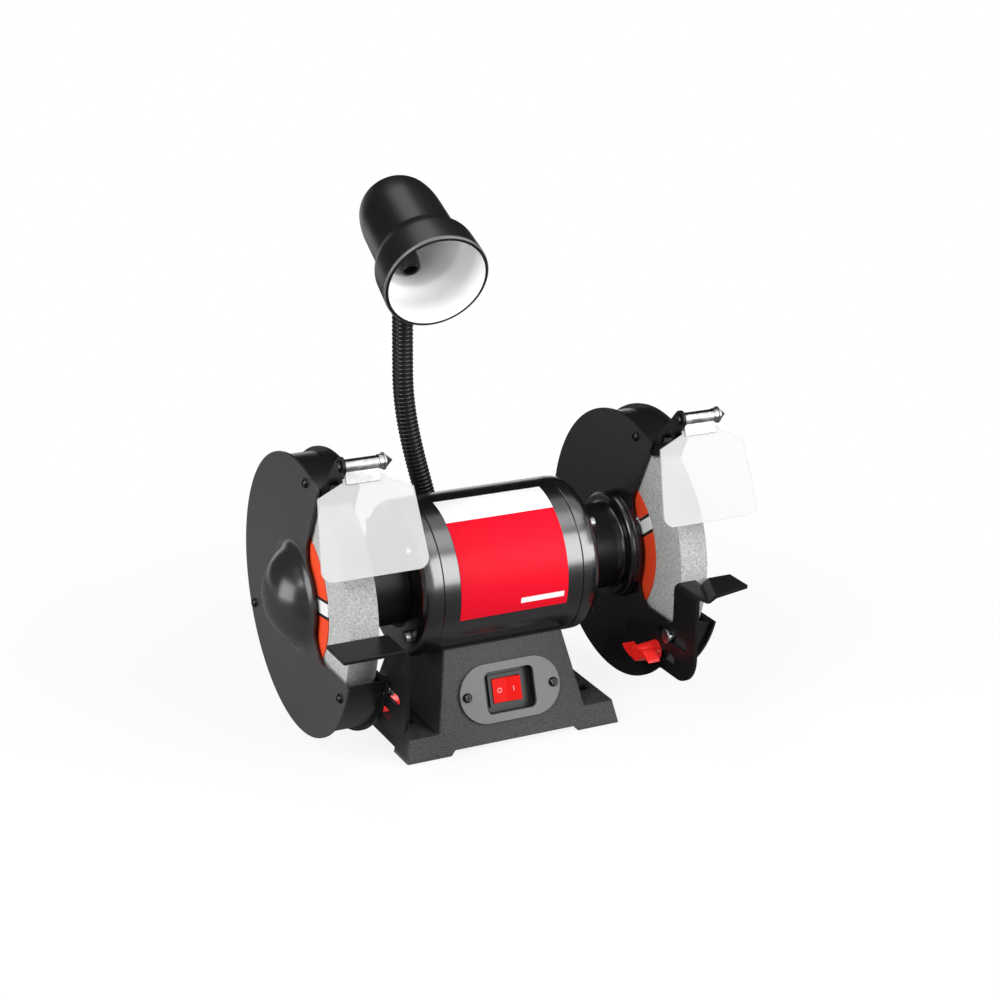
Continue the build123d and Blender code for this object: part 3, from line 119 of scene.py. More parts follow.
def node(tree, kind, inputs=None, **settings):
    """New node with its settings; inputs maps a socket to a value or to another node's output."""
    new = tree.nodes.new(kind)
    for name, value in settings.items():
        setattr(new, name, value)
    for socket, value in (inputs or {}).items():
        if isinstance(value, bpy.types.NodeSocket):
            tree.links.new(value, new.inputs[socket])
        else:
            new.inputs[socket].default_value = value
    return new


def sums(tree, operation, *values):
    """Result of one math node."""
    return node(tree, "ShaderNodeMath", dict(enumerate(values)), operation=operation).outputs[0]


def aim(thing, at, to, roll=0.0):
    """Stand a camera, lamp or board at one place, looking at another, turned about its view line."""
    look = (to - at).normalized()
    right = look.cross(Vector((0, 0, 1))).normalized()
    up = right.cross(look)
    across = right * math.cos(roll) + up * math.sin(roll)
    upright = up * math.cos(roll) - right * math.sin(roll)
    thing.matrix_world = Matrix.Translation(at) @ Matrix((across, upright, -look)).transposed().to_4x4()


def seen_directly(tree):
    """1 for rays that see the background: from the camera, a reflection or a clear sheet."""
    path = node(tree, "ShaderNodeLightPath").outputs
    first = sums(tree, "MAXIMUM", path["Is Camera Ray"], path["Is Glossy Ray"])
    return sums(tree, "MAXIMUM", first, path["Is Transmission Ray"])


def board(name, width, depth):
    """Flat stage piece about its own middle."""
    x, y = width / 2, depth / 2
    mesh = bpy.data.meshes.new(name)
    mesh.from_pydata([(-x, -y, 0), (x, -y, 0), (x, y, 0), (-x, y, 0)], [], [(0, 1, 2, 3)])
    piece = bpy.data.objects.new(name, mesh)
    scene.collection.objects.link(piece)
    piece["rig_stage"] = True
    return piece


def softbox(name, at, to, width, height, watts):
    """Rectangular studio lamp."""
    lamp = bpy.data.lights.new(name, "AREA")
    lamp.shape = "RECTANGLE"
    lamp.size = width
    lamp.size_y = height
    lamp.energy = watts
    box = bpy.data.objects.new(name, lamp)
    scene.collection.objects.link(box)
    aim(box, Vector(at), Vector(to))


def dark_card(name, at, to, width, height, grey):
    """Dark board that only reflections see; it keeps white surroundings off the gloss paint."""
    card = board(name, width, height)
    aim(card, Vector(at), Vector(to))
    matt = bpy.data.materials.new(name)
    matt.use_nodes = True
    shader = matt.node_tree.nodes["Principled BSDF"].inputs
    shader["Base Color"].default_value = (grey, grey, grey, 1)
    shader["Specular IOR Level"].default_value = 0.0
    card.data.materials.append(matt)
    for rays in ("camera", "diffuse", "transmission", "volume_scatter", "shadow"):
        setattr(card, "visible_" + rays, False)


def floor_mat(name, x, y, width, depth, grey):
    """Dark card that lies just above the floor and faces up."""
    dark_card(name, (x, y, MAT_RISE), (x, y + 0.0001, 1.0), width, depth, grey)


camera = bpy.data.objects.new("camera", bpy.data.cameras.new("camera"))
camera.data.lens = CAMERA_LENS
scene.collection.objects.link(camera)
aim(camera, CAMERA_AT, CAMERA_TO, CAMERA_ROLL)
scene.camera = camera

world = bpy.data.worlds.new("studio")
world.use_nodes = True
scene.world = world
sky = world.node_tree
strength = node(sky, "ShaderNodeMapRange", {
    "Value": seen_directly(sky), "To Min": AMBIENT, "To Max": 1.0})
sky.links.new(strength.outputs[0], sky.nodes["Background"].inputs["Strength"])
sky.nodes["Background"].inputs["Color"].default_value = (1, 1, 1, 1)

floor = board("floor", FLOOR_SIZE, FLOOR_SIZE)
pale = bpy.data.materials.new("pale_floor")
pale.use_nodes = True
tree = pale.node_tree
matt = tree.nodes["Principled BSDF"]
grey = node(tree, "ShaderNodeMapRange", {
    "Value": seen_directly(tree), "To Min": FLOOR_DULL, "To Max": FLOOR_PALE}).outputs[0]
tree.links.new(grey, matt.inputs["Base Color"])
matt.inputs["Roughness"].default_value = 0.9
matt.inputs["Specular IOR Level"].default_value = 0.0
glow = node(tree, "ShaderNodeEmission")
place = node(tree, "ShaderNodeTexCoord")
away = node(tree, "ShaderNodeVectorMath", {0: place.outputs["Object"]}, operation="LENGTH")
fade = node(tree, "ShaderNodeMapRange", {
    "Value": away.outputs["Value"], "From Min": FLOOR_NEAR, "From Max": FLOOR_FAR,
    "To Min": FLOOR_GLOW_NEAR, "To Max": 1.0}, interpolation_type="SMOOTHSTEP")
blend = node(tree, "ShaderNodeMixShader", {
    0: sums(tree, "MULTIPLY", fade.outputs[0], seen_directly(tree)),
    1: matt.outputs["BSDF"], 2: glow.outputs["Emission"]})
tree.links.new(blend.outputs[0], tree.nodes["Material Output"].inputs["Surface"])
floor.data.materials.append(pale)

softbox("front_box", (0.84, -1.28, 0.72), (0, 0, 0.15), 1.4, 1.1, 28.5)
softbox("high_box", (0.71, -0.71, 1.80), (0, 0, 0.2), 0.8, 0.8, 4.4)
softbox("overhead_box", (-0.06, 0.45, 1.87), (0, 0, 0.2), 0.9, 0.9, 6.0)
softbox("left_box", (-1.50, 0.0, 0.34), (0, 0, 0.16), 0.8, 0.7, 12.0)
softbox("upper_left_box", (-1.15, -0.75, 1.15), (0, 0, 0.16), 0.7, 0.7, 18.5)
dark_card("back_card", (0.80, 1.35, 1.20), (0, 0, 0.25), 2.6, 2.1, CARD_GREY)
dark_card("left_card", (-1.05, 1.15, 1.05), (0, 0, 0.30), 2.0, 1.9, CARD_GREY)
dark_card("side_card", (-1.80, -0.20, 0.75), (0, -0.05, 0.20), 2.4, 1.5, CARD_GREY)
floor_mat("table_mat", 0.10, -1.31, 3.2, 2.38, 0.15)
floor_mat("rear_mat", 0.765, 0.64, 1.87, 1.52, 0.22)
floor_mat("side_mat", -0.835, 0.64, 1.33, 1.52, 0.38)

# Base: a hollow iron casting in grainy dark grey paint, standing on rubber feet, with rubber bushes
# for the bench bolts, a pressed bottom plate, and the cord gland and capacitor at the back.
EDGE_ANGLE = math.radians(28)     # edges that bend more than this are sharp
WELD = 0.00001
CASTING_EDGE = 0.0012
FOOT_EDGE = 0.0006
BOTTOM_EDGE = 0.0004
GLAND_EDGE = 0.0008
CASTING_GREY = (0.045, 0.045, 0.047)


def smooth(mesh):
    """Shade a mesh smooth between its sharp edges."""
    mesh.polygons.foreach_set("use_smooth", [True] * len(mesh.polygons))
    mesh.set_sharp_from_angle(angle=EDGE_ANGLE)
    return mesh


def piece_from(name, mesh, body, slot, *nodes):
    """Object for a finished mesh that rides on a body and may stand for CAD nodes."""
    piece = bpy.data.objects.new(name, mesh)
    scene.collection.objects.link(piece)
    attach(piece, body)
    if nodes:
        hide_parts(*nodes)
    return piece


def welded(name, flat):
    """Mesh of a CAD node, its triangles joined and faces that bend less than flat degrees merged."""
    work = bmesh.new()
    work.from_mesh(frame["nodes"][name].data)
    bmesh.ops.remove_doubles(work, verts=work.verts, dist=WELD)
    bmesh.ops.dissolve_degenerate(work, dist=WELD, edges=work.edges)
    bmesh.ops.dissolve_limit(work, angle_limit=math.radians(flat), verts=work.verts, edges=work.edges)
    bmesh.ops.recalc_face_normals(work, faces=work.faces)
    mesh = bpy.data.meshes.new(name + "_skin")
    work.to_mesh(mesh)
    work.free()
    return smooth(mesh)


def soften(name, width, material, segments=3, flat=0.4):
    """Piece that stands for a CAD node, with its sharp edges rounded."""
    mesh = welded(name, flat)
    mesh.materials.append(material)
    piece = piece_from(name + "_skin", mesh, frame["nodes"][name]["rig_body"], slot_of[name], name)
    bevel = piece.modifiers.new("edges", "BEVEL")
    bevel.limit_method = "ANGLE"
    bevel.angle_limit = EDGE_ANGLE
    bevel.width = width
    bevel.segments = segments
    bevel.harden_normals = True
    return piece


def dress(material, *names):
    """Give CAD nodes that stay as they are a material."""
    for name in names:
        mesh = frame["nodes"][name].data
        mesh.materials.clear()
        mesh.materials.append(material)


def surface_group():
    """Shared finish: cloudy colour, uneven gloss and a fine bump."""
    group = bpy.data.node_groups.new("surface", "ShaderNodeTree")
    socket = group.interface.new_socket
    socket("Color", in_out="INPUT", socket_type="NodeSocketColor")
    for name in ("Clouds", "Cloud Scale", "Roughness", "Uneven", "Grain Scale", "Grain"):
        socket(name, in_out="INPUT", socket_type="NodeSocketFloat")
    socket("Color", in_out="OUTPUT", socket_type="NodeSocketColor")
    socket("Roughness", in_out="OUTPUT", socket_type="NodeSocketFloat")
    socket("Normal", in_out="OUTPUT", socket_type="NodeSocketVector")
    given = node(group, "NodeGroupInput").outputs
    spot = node(group, "ShaderNodeTexCoord").outputs["Object"]
    clouds = node(group, "ShaderNodeTexNoise", {
        "Vector": spot, "Scale": given["Cloud Scale"], "Detail": 3.0, "Roughness": 0.55})
    spread = node(group, "ShaderNodeMapRange", {
        "Value": clouds.outputs[0], "From Min": 0.3, "From Max": 0.7, "To Min": -1.0}).outputs[0]
    shade = sums(group, "MULTIPLY_ADD", spread, given["Clouds"], 1.0)
    tint = node(group, "ShaderNodeVectorMath", {0: given["Color"], "Scale": shade}, operation="SCALE")
    grain = node(group, "ShaderNodeTexNoise", {
        "Vector": spot, "Scale": given["Grain Scale"], "Detail": 2.0, "Roughness": 0.55})
    bump = node(group, "ShaderNodeBump", {
        "Strength": given["Grain"], "Distance": 0.001, "Height": grain.outputs[0]})
    node(group, "NodeGroupOutput", {
        "Color": tint.outputs[0],
        "Roughness": sums(group, "MULTIPLY_ADD", spread, given["Uneven"], given["Roughness"]),
        "Normal": bump.outputs[0]})
    return group


surface = surface_group()


def finish(name, color, roughness, clouds=0.06, cloud_scale=18.0, uneven=0.03, grain_scale=900.0,
           grain=0.02, metallic=0.0, specular=0.5, coat=0.0, coat_roughness=0.1):
    """Painted, moulded or plated finish built on the shared surface group."""
    material = bpy.data.materials.new(name)
    material.use_nodes = True
    tree = material.node_tree
    shader = tree.nodes["Principled BSDF"].inputs
    shader["Metallic"].default_value = metallic
    shader["Specular IOR Level"].default_value = specular
    shader["Coat Weight"].default_value = coat
    shader["Coat Roughness"].default_value = coat_roughness
    skin = tree.nodes.new("ShaderNodeGroup")
    skin.name = "skin"
    skin.node_tree = surface
    values = {
        "Color": (*color, 1), "Clouds": clouds, "Cloud Scale": cloud_scale, "Roughness": roughness,
        "Uneven": uneven, "Grain Scale": grain_scale, "Grain": grain}
    for socket, value in values.items():
        skin.inputs[socket].default_value = value
    for output, socket in (("Color", "Base Color"), ("Roughness", "Roughness"), ("Normal", "Normal")):
        tree.links.new(skin.outputs[output], shader[socket])
    return material


slot_of = {row["node"]: row["material_slot"] for row in frame["record"]["subparts"]}
casting_paint = finish("casting_paint", CASTING_GREY, 0.5, 0.3, 420.0, 0.06, 700.0, 0.6, specular=0.25)
foot_rubber = finish("foot_rubber", (0.018, 0.018, 0.018), 0.75, specular=0.2)
sheet_black = finish("sheet_black", (0.012, 0.012, 0.013), 0.4, specular=0.25)
zinc = finish("zinc", (0.62, 0.63, 0.65), 0.25, 0.08, 60.0, 0.05, 700.0, 0.03, metallic=1.0)
moulded_black = finish(
    "moulded_black", (0.010, 0.010, 0.011), 0.36, grain_scale=1500.0, grain=0.05, specular=0.35)
can_grey = finish("can_grey", (0.35, 0.36, 0.37), 0.4, metallic=1.0)
soften("base_casting", CASTING_EDGE, casting_paint)
soften("rubber_feet", FOOT_EDGE, foot_rubber)
soften("bottom_plate", BOTTOM_EDGE, sheet_black)
dress(zinc, "bottom_plate_screws", "motor_bolts", "capacitor_clamp")
dress(can_grey, "capacitor")
soften("cord_gland", GLAND_EDGE, moulded_black)

# Switch: a grey plate held by two black pan-head screws to the sloping front, with a recessed black
# tray and a moulded red rocker that carries a plain ring and bar in pale paint.
PLATE_EDGE = 0.0007
TRAY_EDGE = 0.0004
SWITCH_EDGE = 0.0006
PLATE_GREY = (0.150, 0.152, 0.155)
PLATE_OUT = 0.0105          # plate's face above the rocker's pivot
PLATE_SCREW_X = 0.0392
PLATE_SCREW_LENGTH = 0.010
PLATE_SCREW_SEED = 3        # sets how far each screw is turned
PAN_RADIUS = 0.0040
PAN_HEIGHT = 0.0027
PAN_CROWN = 0.36            # how far the head draws in at the top, in head radii
PAN_SIDES = 32
RECESS_LENGTH = 1.05        # cross recess, in head radii
RECESS_WIDTH = 0.26
SHANK_RADIUS = 0.0016
SHANK_SIDES = 16
ROCKER_HALF = 0.0123
ROCKER_PROUD = 0.0050       # ends of the rocker above its pivot
ROCKER_TILT = math.radians(7)
MARK_RADIUS = 0.0021
MARK_LINE = 0.00028         # half the width of a mark's line
MARK_PROUD = 0.00012
MARK_SIDES = 40


def pan_heads():
    """Geometry nodes: a cross-recessed pan-head screw at every point, along its axis attribute."""
    group = bpy.data.node_groups.new("pan_heads", "GeometryNodeTree")
    socket = group.interface.new_socket
    socket("Points", in_out="INPUT", socket_type="NodeSocketGeometry")
    for name in ("Head Radius", "Head Height", "Shank Radius", "Shank Length"):
        socket(name, in_out="INPUT", socket_type="NodeSocketFloat")
    socket("Seed", in_out="INPUT", socket_type="NodeSocketInt")
    socket("Material", in_out="INPUT", socket_type="NodeSocketMaterial")
    socket("Screws", in_out="OUTPUT", socket_type="NodeSocketGeometry")
    given = node(group, "NodeGroupInput").outputs
    radius, height, length = given["Head Radius"], given["Head Height"], given["Shank Length"]

    def lifted(mesh, rise):
        up = node(group, "ShaderNodeCombineXYZ", {2: rise}).outputs[0]
        return node(group, "GeometryNodeTransform", {"Geometry": mesh, "Translation": up}).outputs[0]

    blank = node(group, "GeometryNodeMeshCylinder", {
        "Vertices": PAN_SIDES, "Side Segments": 8, "Radius": radius, "Depth": height}).outputs["Mesh"]
    spot = node(group, "GeometryNodeInputPosition").outputs[0]
    share = sums(group, "DIVIDE", node(group, "ShaderNodeSeparateXYZ", {0: spot}).outputs[2], height)
    inset = sums(group, "MULTIPLY_ADD", sums(group, "POWER", share, 3.0), -PAN_CROWN, 1.0)
    scale = node(group, "ShaderNodeCombineXYZ", {0: inset, 1: inset, 2: 1.0}).outputs[0]
    eased = node(group, "ShaderNodeVectorMath", {0: spot, 1: scale}, operation="MULTIPLY").outputs[0]
    head = node(group, "GeometryNodeSetPosition", {
        "Geometry": lifted(blank, sums(group, "MULTIPLY", height, 0.5)), "Position": eased}).outputs[0]
    wide = sums(group, "MULTIPLY", radius, RECESS_LENGTH)
    thin = sums(group, "MULTIPLY", radius, RECESS_WIDTH)
    recess = node(group, "GeometryNodeMeshBoolean", {0: head}, operation="DIFFERENCE")
    for across, along in ((wide, thin), (thin, wide)):
        size = node(group, "ShaderNodeCombineXYZ", {0: across, 1: along, 2: height}).outputs[0]
        bar = node(group, "GeometryNodeMeshCube", {"Size": size}).outputs["Mesh"]
        group.links.new(lifted(bar, height), recess.inputs[1])
    shank = node(group, "GeometryNodeMeshCylinder", {
        "Vertices": SHANK_SIDES, "Radius": given["Shank Radius"], "Depth": length}).outputs["Mesh"]
    whole = node(group, "GeometryNodeJoinGeometry", {0: recess.outputs[0]})
    group.links.new(lifted(shank, sums(group, "MULTIPLY", length, -0.5)), whole.inputs[0])
    axis = node(group, "GeometryNodeInputNamedAttribute", {
        "Name": "axis"}, data_type="FLOAT_VECTOR").outputs[0]
    along = node(group, "FunctionNodeAlignRotationToVector", {"Vector": axis}, axis="Z").outputs[0]
    any_turn = node(group, "FunctionNodeRandomValue", {
        2: 0.0, 3: math.pi / 2, "Seed": given["Seed"]}, data_type="FLOAT").outputs[1]
    spin = node(group, "FunctionNodeAxisAngleToRotation", {
        "Axis": (0, 0, 1), "Angle": any_turn}).outputs[0]
    turn = node(group, "FunctionNodeRotateRotation", {
        "Rotation": along, "Rotate By": spin}, rotation_space="LOCAL").outputs[0]
    placed = node(group, "GeometryNodeInstanceOnPoints", {
        "Points": given["Points"], "Instance": whole.outputs[0], "Rotation": turn}).outputs[0]
    solid = node(group, "GeometryNodeRealizeInstances", {0: placed}).outputs[0]
    painted = node(group, "GeometryNodeSetMaterial", {
        "Geometry": solid, "Material": given["Material"]}).outputs[0]
    node(group, "NodeGroupOutput", {"Screws": painted})
    return group


def grown(name, group, inputs, points, edges=(), axes=()):
    """Plain mesh that a geometry node group grows on points or along a path."""
    seed = bpy.data.meshes.new(name + "_seed")
    seed.from_pydata(points, edges, [])
    if axes:
        values = seed.attributes.new("axis", "FLOAT_VECTOR", "POINT").data
        values.foreach_set("vector", [part for axis in axes for part in axis])
    holder = bpy.data.objects.new(name + "_seed", seed)
    scene.collection.objects.link(holder)
    modifier = holder.modifiers.new("grow", "NODES")
    modifier.node_group = group
    for item in group.interface.items_tree:
        if item.in_out == "INPUT" and item.name in inputs:
            modifier[item.identifier] = inputs[item.name]
    ready = holder.evaluated_get(bpy.context.evaluated_depsgraph_get())
    mesh = bpy.data.meshes.new_from_object(ready)
    mesh.name = name
    bpy.data.objects.remove(holder)
    return smooth(mesh)


def screws(name, length, seed, seats, axes):
    """Mesh of black pan-head screws whose heads lie on the seats."""
    return grown(name, screw_group, {
        "Head Radius": PAN_RADIUS, "Head Height": PAN_HEIGHT, "Shank Radius": SHANK_RADIUS,
        "Shank Length": length, "Seed": seed, "Material": screw_black}, seats, axes=axes)


def turned(work, profile, place, segments, material=0):
    """Add the surface that a line of (radius, height) points sweeps about the place's own Z."""
    rings = []
    for radius, height in profile:
        count = segments if radius > WELD else 1
        turns = [2 * math.pi * k / segments for k in range(count)]
        spots = [Vector((radius * math.cos(a), radius * math.sin(a), height)) for a in turns]
        rings.append([work.verts.new(place @ spot) for spot in spots])
    for low, high in zip(rings, rings[1:]):
        for k in range(segments):
            corners = (low[k % len(low)], low[(k + 1) % len(low)],
                       high[(k + 1) % len(high)], high[k % len(high)])
            if len(set(corners)) > 2:
                work.faces.new(dict.fromkeys(corners)).material_index = material


def finished(work, name, *materials):
    """Closed mesh from a bmesh, with its normals outward."""
    bmesh.ops.remove_doubles(work, verts=work.verts, dist=WELD / 10)
    bmesh.ops.recalc_face_normals(work, faces=work.faces)
    mesh = bpy.data.meshes.new(name)
    work.to_mesh(mesh)
    work.free()
    for material in materials:
        mesh.materials.append(material)
    return smooth(mesh)


def mark_place(half):
    """Middle of one half of the rocker's bent face: -1 is the left half and 1 the right."""
    middle = Matrix.Translation((half * ROCKER_HALF / 2, 0, mark_rise))
    return tilted @ middle @ Matrix.Rotation(-half * ROCKER_TILT, 4, "Y")


plate_grey = finish(
    "plate_grey", PLATE_GREY, 0.45, 0.05, 40.0, grain_scale=1200.0, grain=0.06, specular=0.35)
rocker_red = finish("rocker_red", (0.74, 0.012, 0.010), 0.36, 0.05, 60.0, specular=0.05)
mark_pale = finish("mark_pale", (0.80, 0.42, 0.38), 0.5, 0.03, 90.0)
screw_black = finish("screw_black", (0.03, 0.03, 0.032), 0.24, 0.1, 120.0, metallic=1.0)
soften("switch_plate", PLATE_EDGE, plate_grey)
soften("switch_tray", TRAY_EDGE, moulded_black)
soften("switch_body", SWITCH_EDGE, moulded_black)
soften("switch_rocker", SWITCH_EDGE, rocker_red)

across = Vector((1, 0, 0))
upward = Vector(joint["rocker_tilt"]["axis"])
outward = across.cross(upward)
face = Matrix((across, upward, outward)).transposed().to_4x4()
face.translation = Vector(joint["rocker_tilt"]["pos_m"])
screw_group = pan_heads()
seats = [face @ Vector((x, 0, PLATE_OUT)) for x in (-PLATE_SCREW_X, PLATE_SCREW_X)]
plate_screws = screws(
    "plate_screws", PLATE_SCREW_LENGTH, PLATE_SCREW_SEED, seats, [outward, outward])
piece_from("plate_screws", plate_screws, "frame", "dark_steel", "switch_plate_screws")

tilted = face @ Matrix.Rotation(-ROCKER_TILT, 4, "Y")
mark_rise = ROCKER_PROUD - ROCKER_HALF / 2 * math.tan(ROCKER_TILT)
work = bmesh.new()
inner, outer = MARK_RADIUS - 2 * MARK_LINE, MARK_RADIUS
turned(work, [(inner, -MARK_PROUD), (outer, -MARK_PROUD), (outer, MARK_PROUD), (inner, MARK_PROUD),
              (inner, -MARK_PROUD)], mark_place(-1), MARK_SIDES)
bar = bmesh.ops.create_cube(work, size=1.0)["verts"]
bmesh.ops.transform(work, verts=bar, matrix=mark_place(1) @ Matrix.Diagonal(
    (2 * MARK_LINE, 2 * MARK_RADIUS, 2 * MARK_PROUD, 1)))
piece_from("rocker_marks", finished(work, "rocker_marks", mark_pale), "rocker", "red_plastic")

# Motor: a rolled shell in gloss black between two cast and turned end bells, held by four tie rods,
# with a plain label film round its front, and the stator inside.
MOTOR_BLACK = (0.005, 0.005, 0.006)
LABEL_RED = (0.76, 0.006, 0.022)
LABEL_WHITE = (0.88, 0.88, 0.88)
LABEL_HEADER_DEG = 57.0       # turn about the motor's axis above which the label is white
STRIP_X = (0.0055, 0.0445)    # plain pale strip near the label's lower right corner
STRIP_DEG = (-10.5, -6.3)
BELL_SHOULDER = (             # (radius, distance from the middle, round); lacquered like the shell
    (0.0615, 0.0625, 0), (0.0650, 0.0625, 0.0006), (0.0650, 0.0800, 0.0100), (0.0400, 0.0800, 0))
BELL_NECK = ((0.0400, 0.0800, 0), (0.0365, 0.0800, 0.0012), (0.0365, 0.1100, 0))
BELL_RING = (                 # grooved ring against the guard, and the bores back to the rim
    (0.0365, 0.1100, 0), (0.0365, 0.1175, 0.0025), (0.0460, 0.1175, 0.0050),
    (0.0460, 0.1230, 0.0004), (0.0452, 0.1234, 0.0003), (0.0452, 0.1242, 0.0003),
    (0.0460, 0.1246, 0.0004), (0.0460, 0.1285, 0.0004), (0.0370, 0.1285, 0), (0.0370, 0.1215, 0),
    (0.0140, 0.1215, 0), (0.0140, 0.0960, 0), (0.02355, 0.0960, 0), (0.02355, 0.0700, 0),
    (0.0615, 0.0700, 0), (0.0615, 0.0625, 0))
BELL_SIDES = 128
ROD_OUT = 0.0060              # the rods' heads lie on the bells' faces
ROD_EDGE = 0.0008
SHELL_EDGE = 0.0006
FILM_EDGE = 0.0001
shell_black = finish(
    "shell_black", MOTOR_BLACK, 0.24, grain_scale=300.0, grain=0.01, specular=0.9, coat=0.8,
    coat_roughness=0.17)
bell_black = finish("bell_black", MOTOR_BLACK, 0.4, grain_scale=300.0, grain=0.03, specular=0.2)
ring_black = finish("ring_black", MOTOR_BLACK, 0.22, grain_scale=300.0, grain=0.01, specular=0.6)
lamination = finish("lamination", (0.30, 0.30, 0.31), 0.4, metallic=1.0)
dull_steel = finish(
    "dull_steel", (0.34, 0.345, 0.355), 0.32, 0.12, 90.0, 0.06, 600.0, 0.05, metallic=1.0)
copper = finish("copper", (0.62, 0.26, 0.12), 0.35, metallic=1.0)
shaft_low, shaft_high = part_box("shaft")
axis_z = (shaft_low.z + shaft_high.z) / 2


def rounded(corners, steps=6):
    """Points along a line of (across, along, round) corners, each corner eased over its round."""
    line = [Vector(corners[0][:2])]
    for before, here, after in zip(corners, corners[1:], corners[2:]):
        spot = Vector(here[:2])
        if not here[2]:
            line.append(spot)
            continue
        start = spot + (Vector(before[:2]) - spot).normalized() * here[2]
        end = spot + (Vector(after[:2]) - spot).normalized() * here[2]
        for k in range(steps + 1):
            t = k / steps
            line.append(start * (1 - t) ** 2 + spot * 2 * t * (1 - t) + end * t ** 2)
    return line + [Vector(corners[-1][:2])]


def between(tree, value, low, high):
    """1 where a value lies between two limits."""
    over = sums(tree, "GREATER_THAN", value, low)
    return sums(tree, "MULTIPLY", over, sums(tree, "LESS_THAN", value, high))


def printed(tree, mask, under, over):
    """Colour that changes from one to another where a mask is 1."""
    return node(tree, "ShaderNodeMix", {0: mask, 6: under, 7: over}, data_type="RGBA").outputs[2]


def repaint(tree, color):
    """Let a colour made by nodes take the place of a finish's plain one."""
    tree.links.new(color, tree.nodes["skin"].inputs["Color"])


label_film = finish("label_film", LABEL_RED, 0.4, 0.02, specular=0.06)
tree = label_film.node_tree
spot = node(tree, "ShaderNodeTexCoord").outputs["Object"]
x, y, z = node(tree, "ShaderNodeSeparateXYZ", {0: spot}).outputs
turn = sums(tree, "ARCTAN2", sums(tree, "SUBTRACT", z, axis_z), sums(tree, "MULTIPLY", y, -1.0))
header = sums(tree, "GREATER_THAN", turn, math.radians(LABEL_HEADER_DEG))
strip = sums(tree, "MULTIPLY", between(tree, x, *STRIP_X), between(
    tree, turn, *(math.radians(limit) for limit in STRIP_DEG)))
pale_areas = sums(tree, "MAXIMUM", header, strip)
repaint(tree, printed(tree, pale_areas, (*LABEL_RED, 1), (*LABEL_WHITE, 1)))
soften("motor_shell", SHELL_EDGE, shell_black)
soften("label_panel", FILM_EDGE, label_film)
for side, sign in (("left", -1), ("right", 1)):
    along = Matrix(((0, 0, sign), (1, 0, 0), (0, 1, 0))).to_4x4()
    along.translation = (0, 0, axis_z)
    work = bmesh.new()
    for part, line in enumerate((BELL_SHOULDER, BELL_NECK, BELL_RING)):
        turned(work, rounded(line), along, BELL_SIDES, part)
    name = "end_bell_" + side
    bell = finished(work, name + "_skin", shell_black, bell_black, ring_black)
    piece_from(name + "_skin", bell, "frame", slot_of[name], name)
for vert in soften("tie_rods", ROD_EDGE, dull_steel).data.vertices:
    if abs(vert.co.x) > BELL_SHOULDER[0][1]:
        vert.co.x += math.copysign(ROD_OUT, vert.co.x)
dress(zinc, "bearings")
dress(lamination, "stator_core", "rotor_core")
dress(copper, "stator_windings")

# Grinding wheels on the motor's shaft: grey grit with an orange-red card on each side that has a
# blank white window, clamped between steel flanges by a nut.
WHEEL_GREY = (0.43, 0.435, 0.43)
CARD_RED = (0.80, 0.065, 0.018, 1)
LINE_BLACK = (0.012, 0.012, 0.012, 1)
WINDOW_WHITE = (0.78, 0.78, 0.77, 1)
WINDOW_HALF = 0.0053
WINDOW_LINE = 0.0026
WINDOW_REACH = 0.0595
WINDOW_DEG = {"left": 7.0, "right": 34.0}
WHEEL_EDGE = 0.0008
CARD_EDGE = 0.0002
wheel_grit = finish("wheel_grit", WHEEL_GREY, 0.85, 0.34, 620.0, 0.03, 1100.0, 0.7, specular=0.2)
card_red = finish("card_red", CARD_RED[:3], 0.5, 0.04, specular=0.3)
tree = card_red.node_tree
spot = node(tree, "ShaderNodeTexCoord").outputs["Object"]
side_x = node(tree, "ShaderNodeSeparateXYZ", {0: spot}).outputs[0]
centred = []
for side in ("left", "right"):
    swing = math.radians(WINDOW_DEG[side]) - math.pi
    offset = Matrix.Rotation(swing, 3, "X") @ Vector((0, 0, -axis_z))
    centred.append(node(tree, "ShaderNodeMapping", {
        "Vector": spot, "Location": offset, "Rotation": (swing, 0, 0)}).outputs[0])
on_right = sums(tree, "GREATER_THAN", side_x, 0.0)
own = node(tree, "ShaderNodeMix", {
    0: on_right, 4: centred[0], 5: centred[1]}, data_type="VECTOR").outputs[1]
radial, sideways = node(tree, "ShaderNodeSeparateXYZ", {0: own}).outputs[1:]
sideways = sums(tree, "ABSOLUTE", sideways)
reach = between(tree, radial, 0.0, WINDOW_REACH)
lines = sums(tree, "MULTIPLY", reach, sums(tree, "LESS_THAN", sideways, WINDOW_HALF + WINDOW_LINE))
window = sums(tree, "MULTIPLY", reach, sums(tree, "LESS_THAN", sideways, WINDOW_HALF))
ruled = printed(tree, lines, CARD_RED, LINE_BLACK)
repaint(tree, printed(tree, window, ruled, WINDOW_WHITE))
soften("wheel_left", WHEEL_EDGE, wheel_grit)
soften("wheel_right", WHEEL_EDGE, wheel_grit)
soften("blotters", CARD_EDGE, card_red)
dress(zinc, "shaft", "inner_flanges", "outer_flanges", "arbor_nuts")
dress(moulded_black, "wheel_bushes")

# Guards: a pressed inner plate with a rolled drum, closed by a cover with a domed middle that
# pan-head screws hold to bosses inside the rim.
GUARD_EDGE = 0.0005
COVER_FLAT = 0.02             # degrees; keeps the dome's shallow faces
COVER_SCREW_LENGTH = 0.016
COVER_SCREW_SEED = 5
guard_black = finish(
    "guard_black", (0.009, 0.009, 0.010), 0.26, grain_scale=250.0, grain=0.02, specular=0.4)
cover_black = finish(
    "cover_black", (0.019, 0.019, 0.020), 0.21, 0.05, 25.0, grain_scale=350.0, grain=0.03)


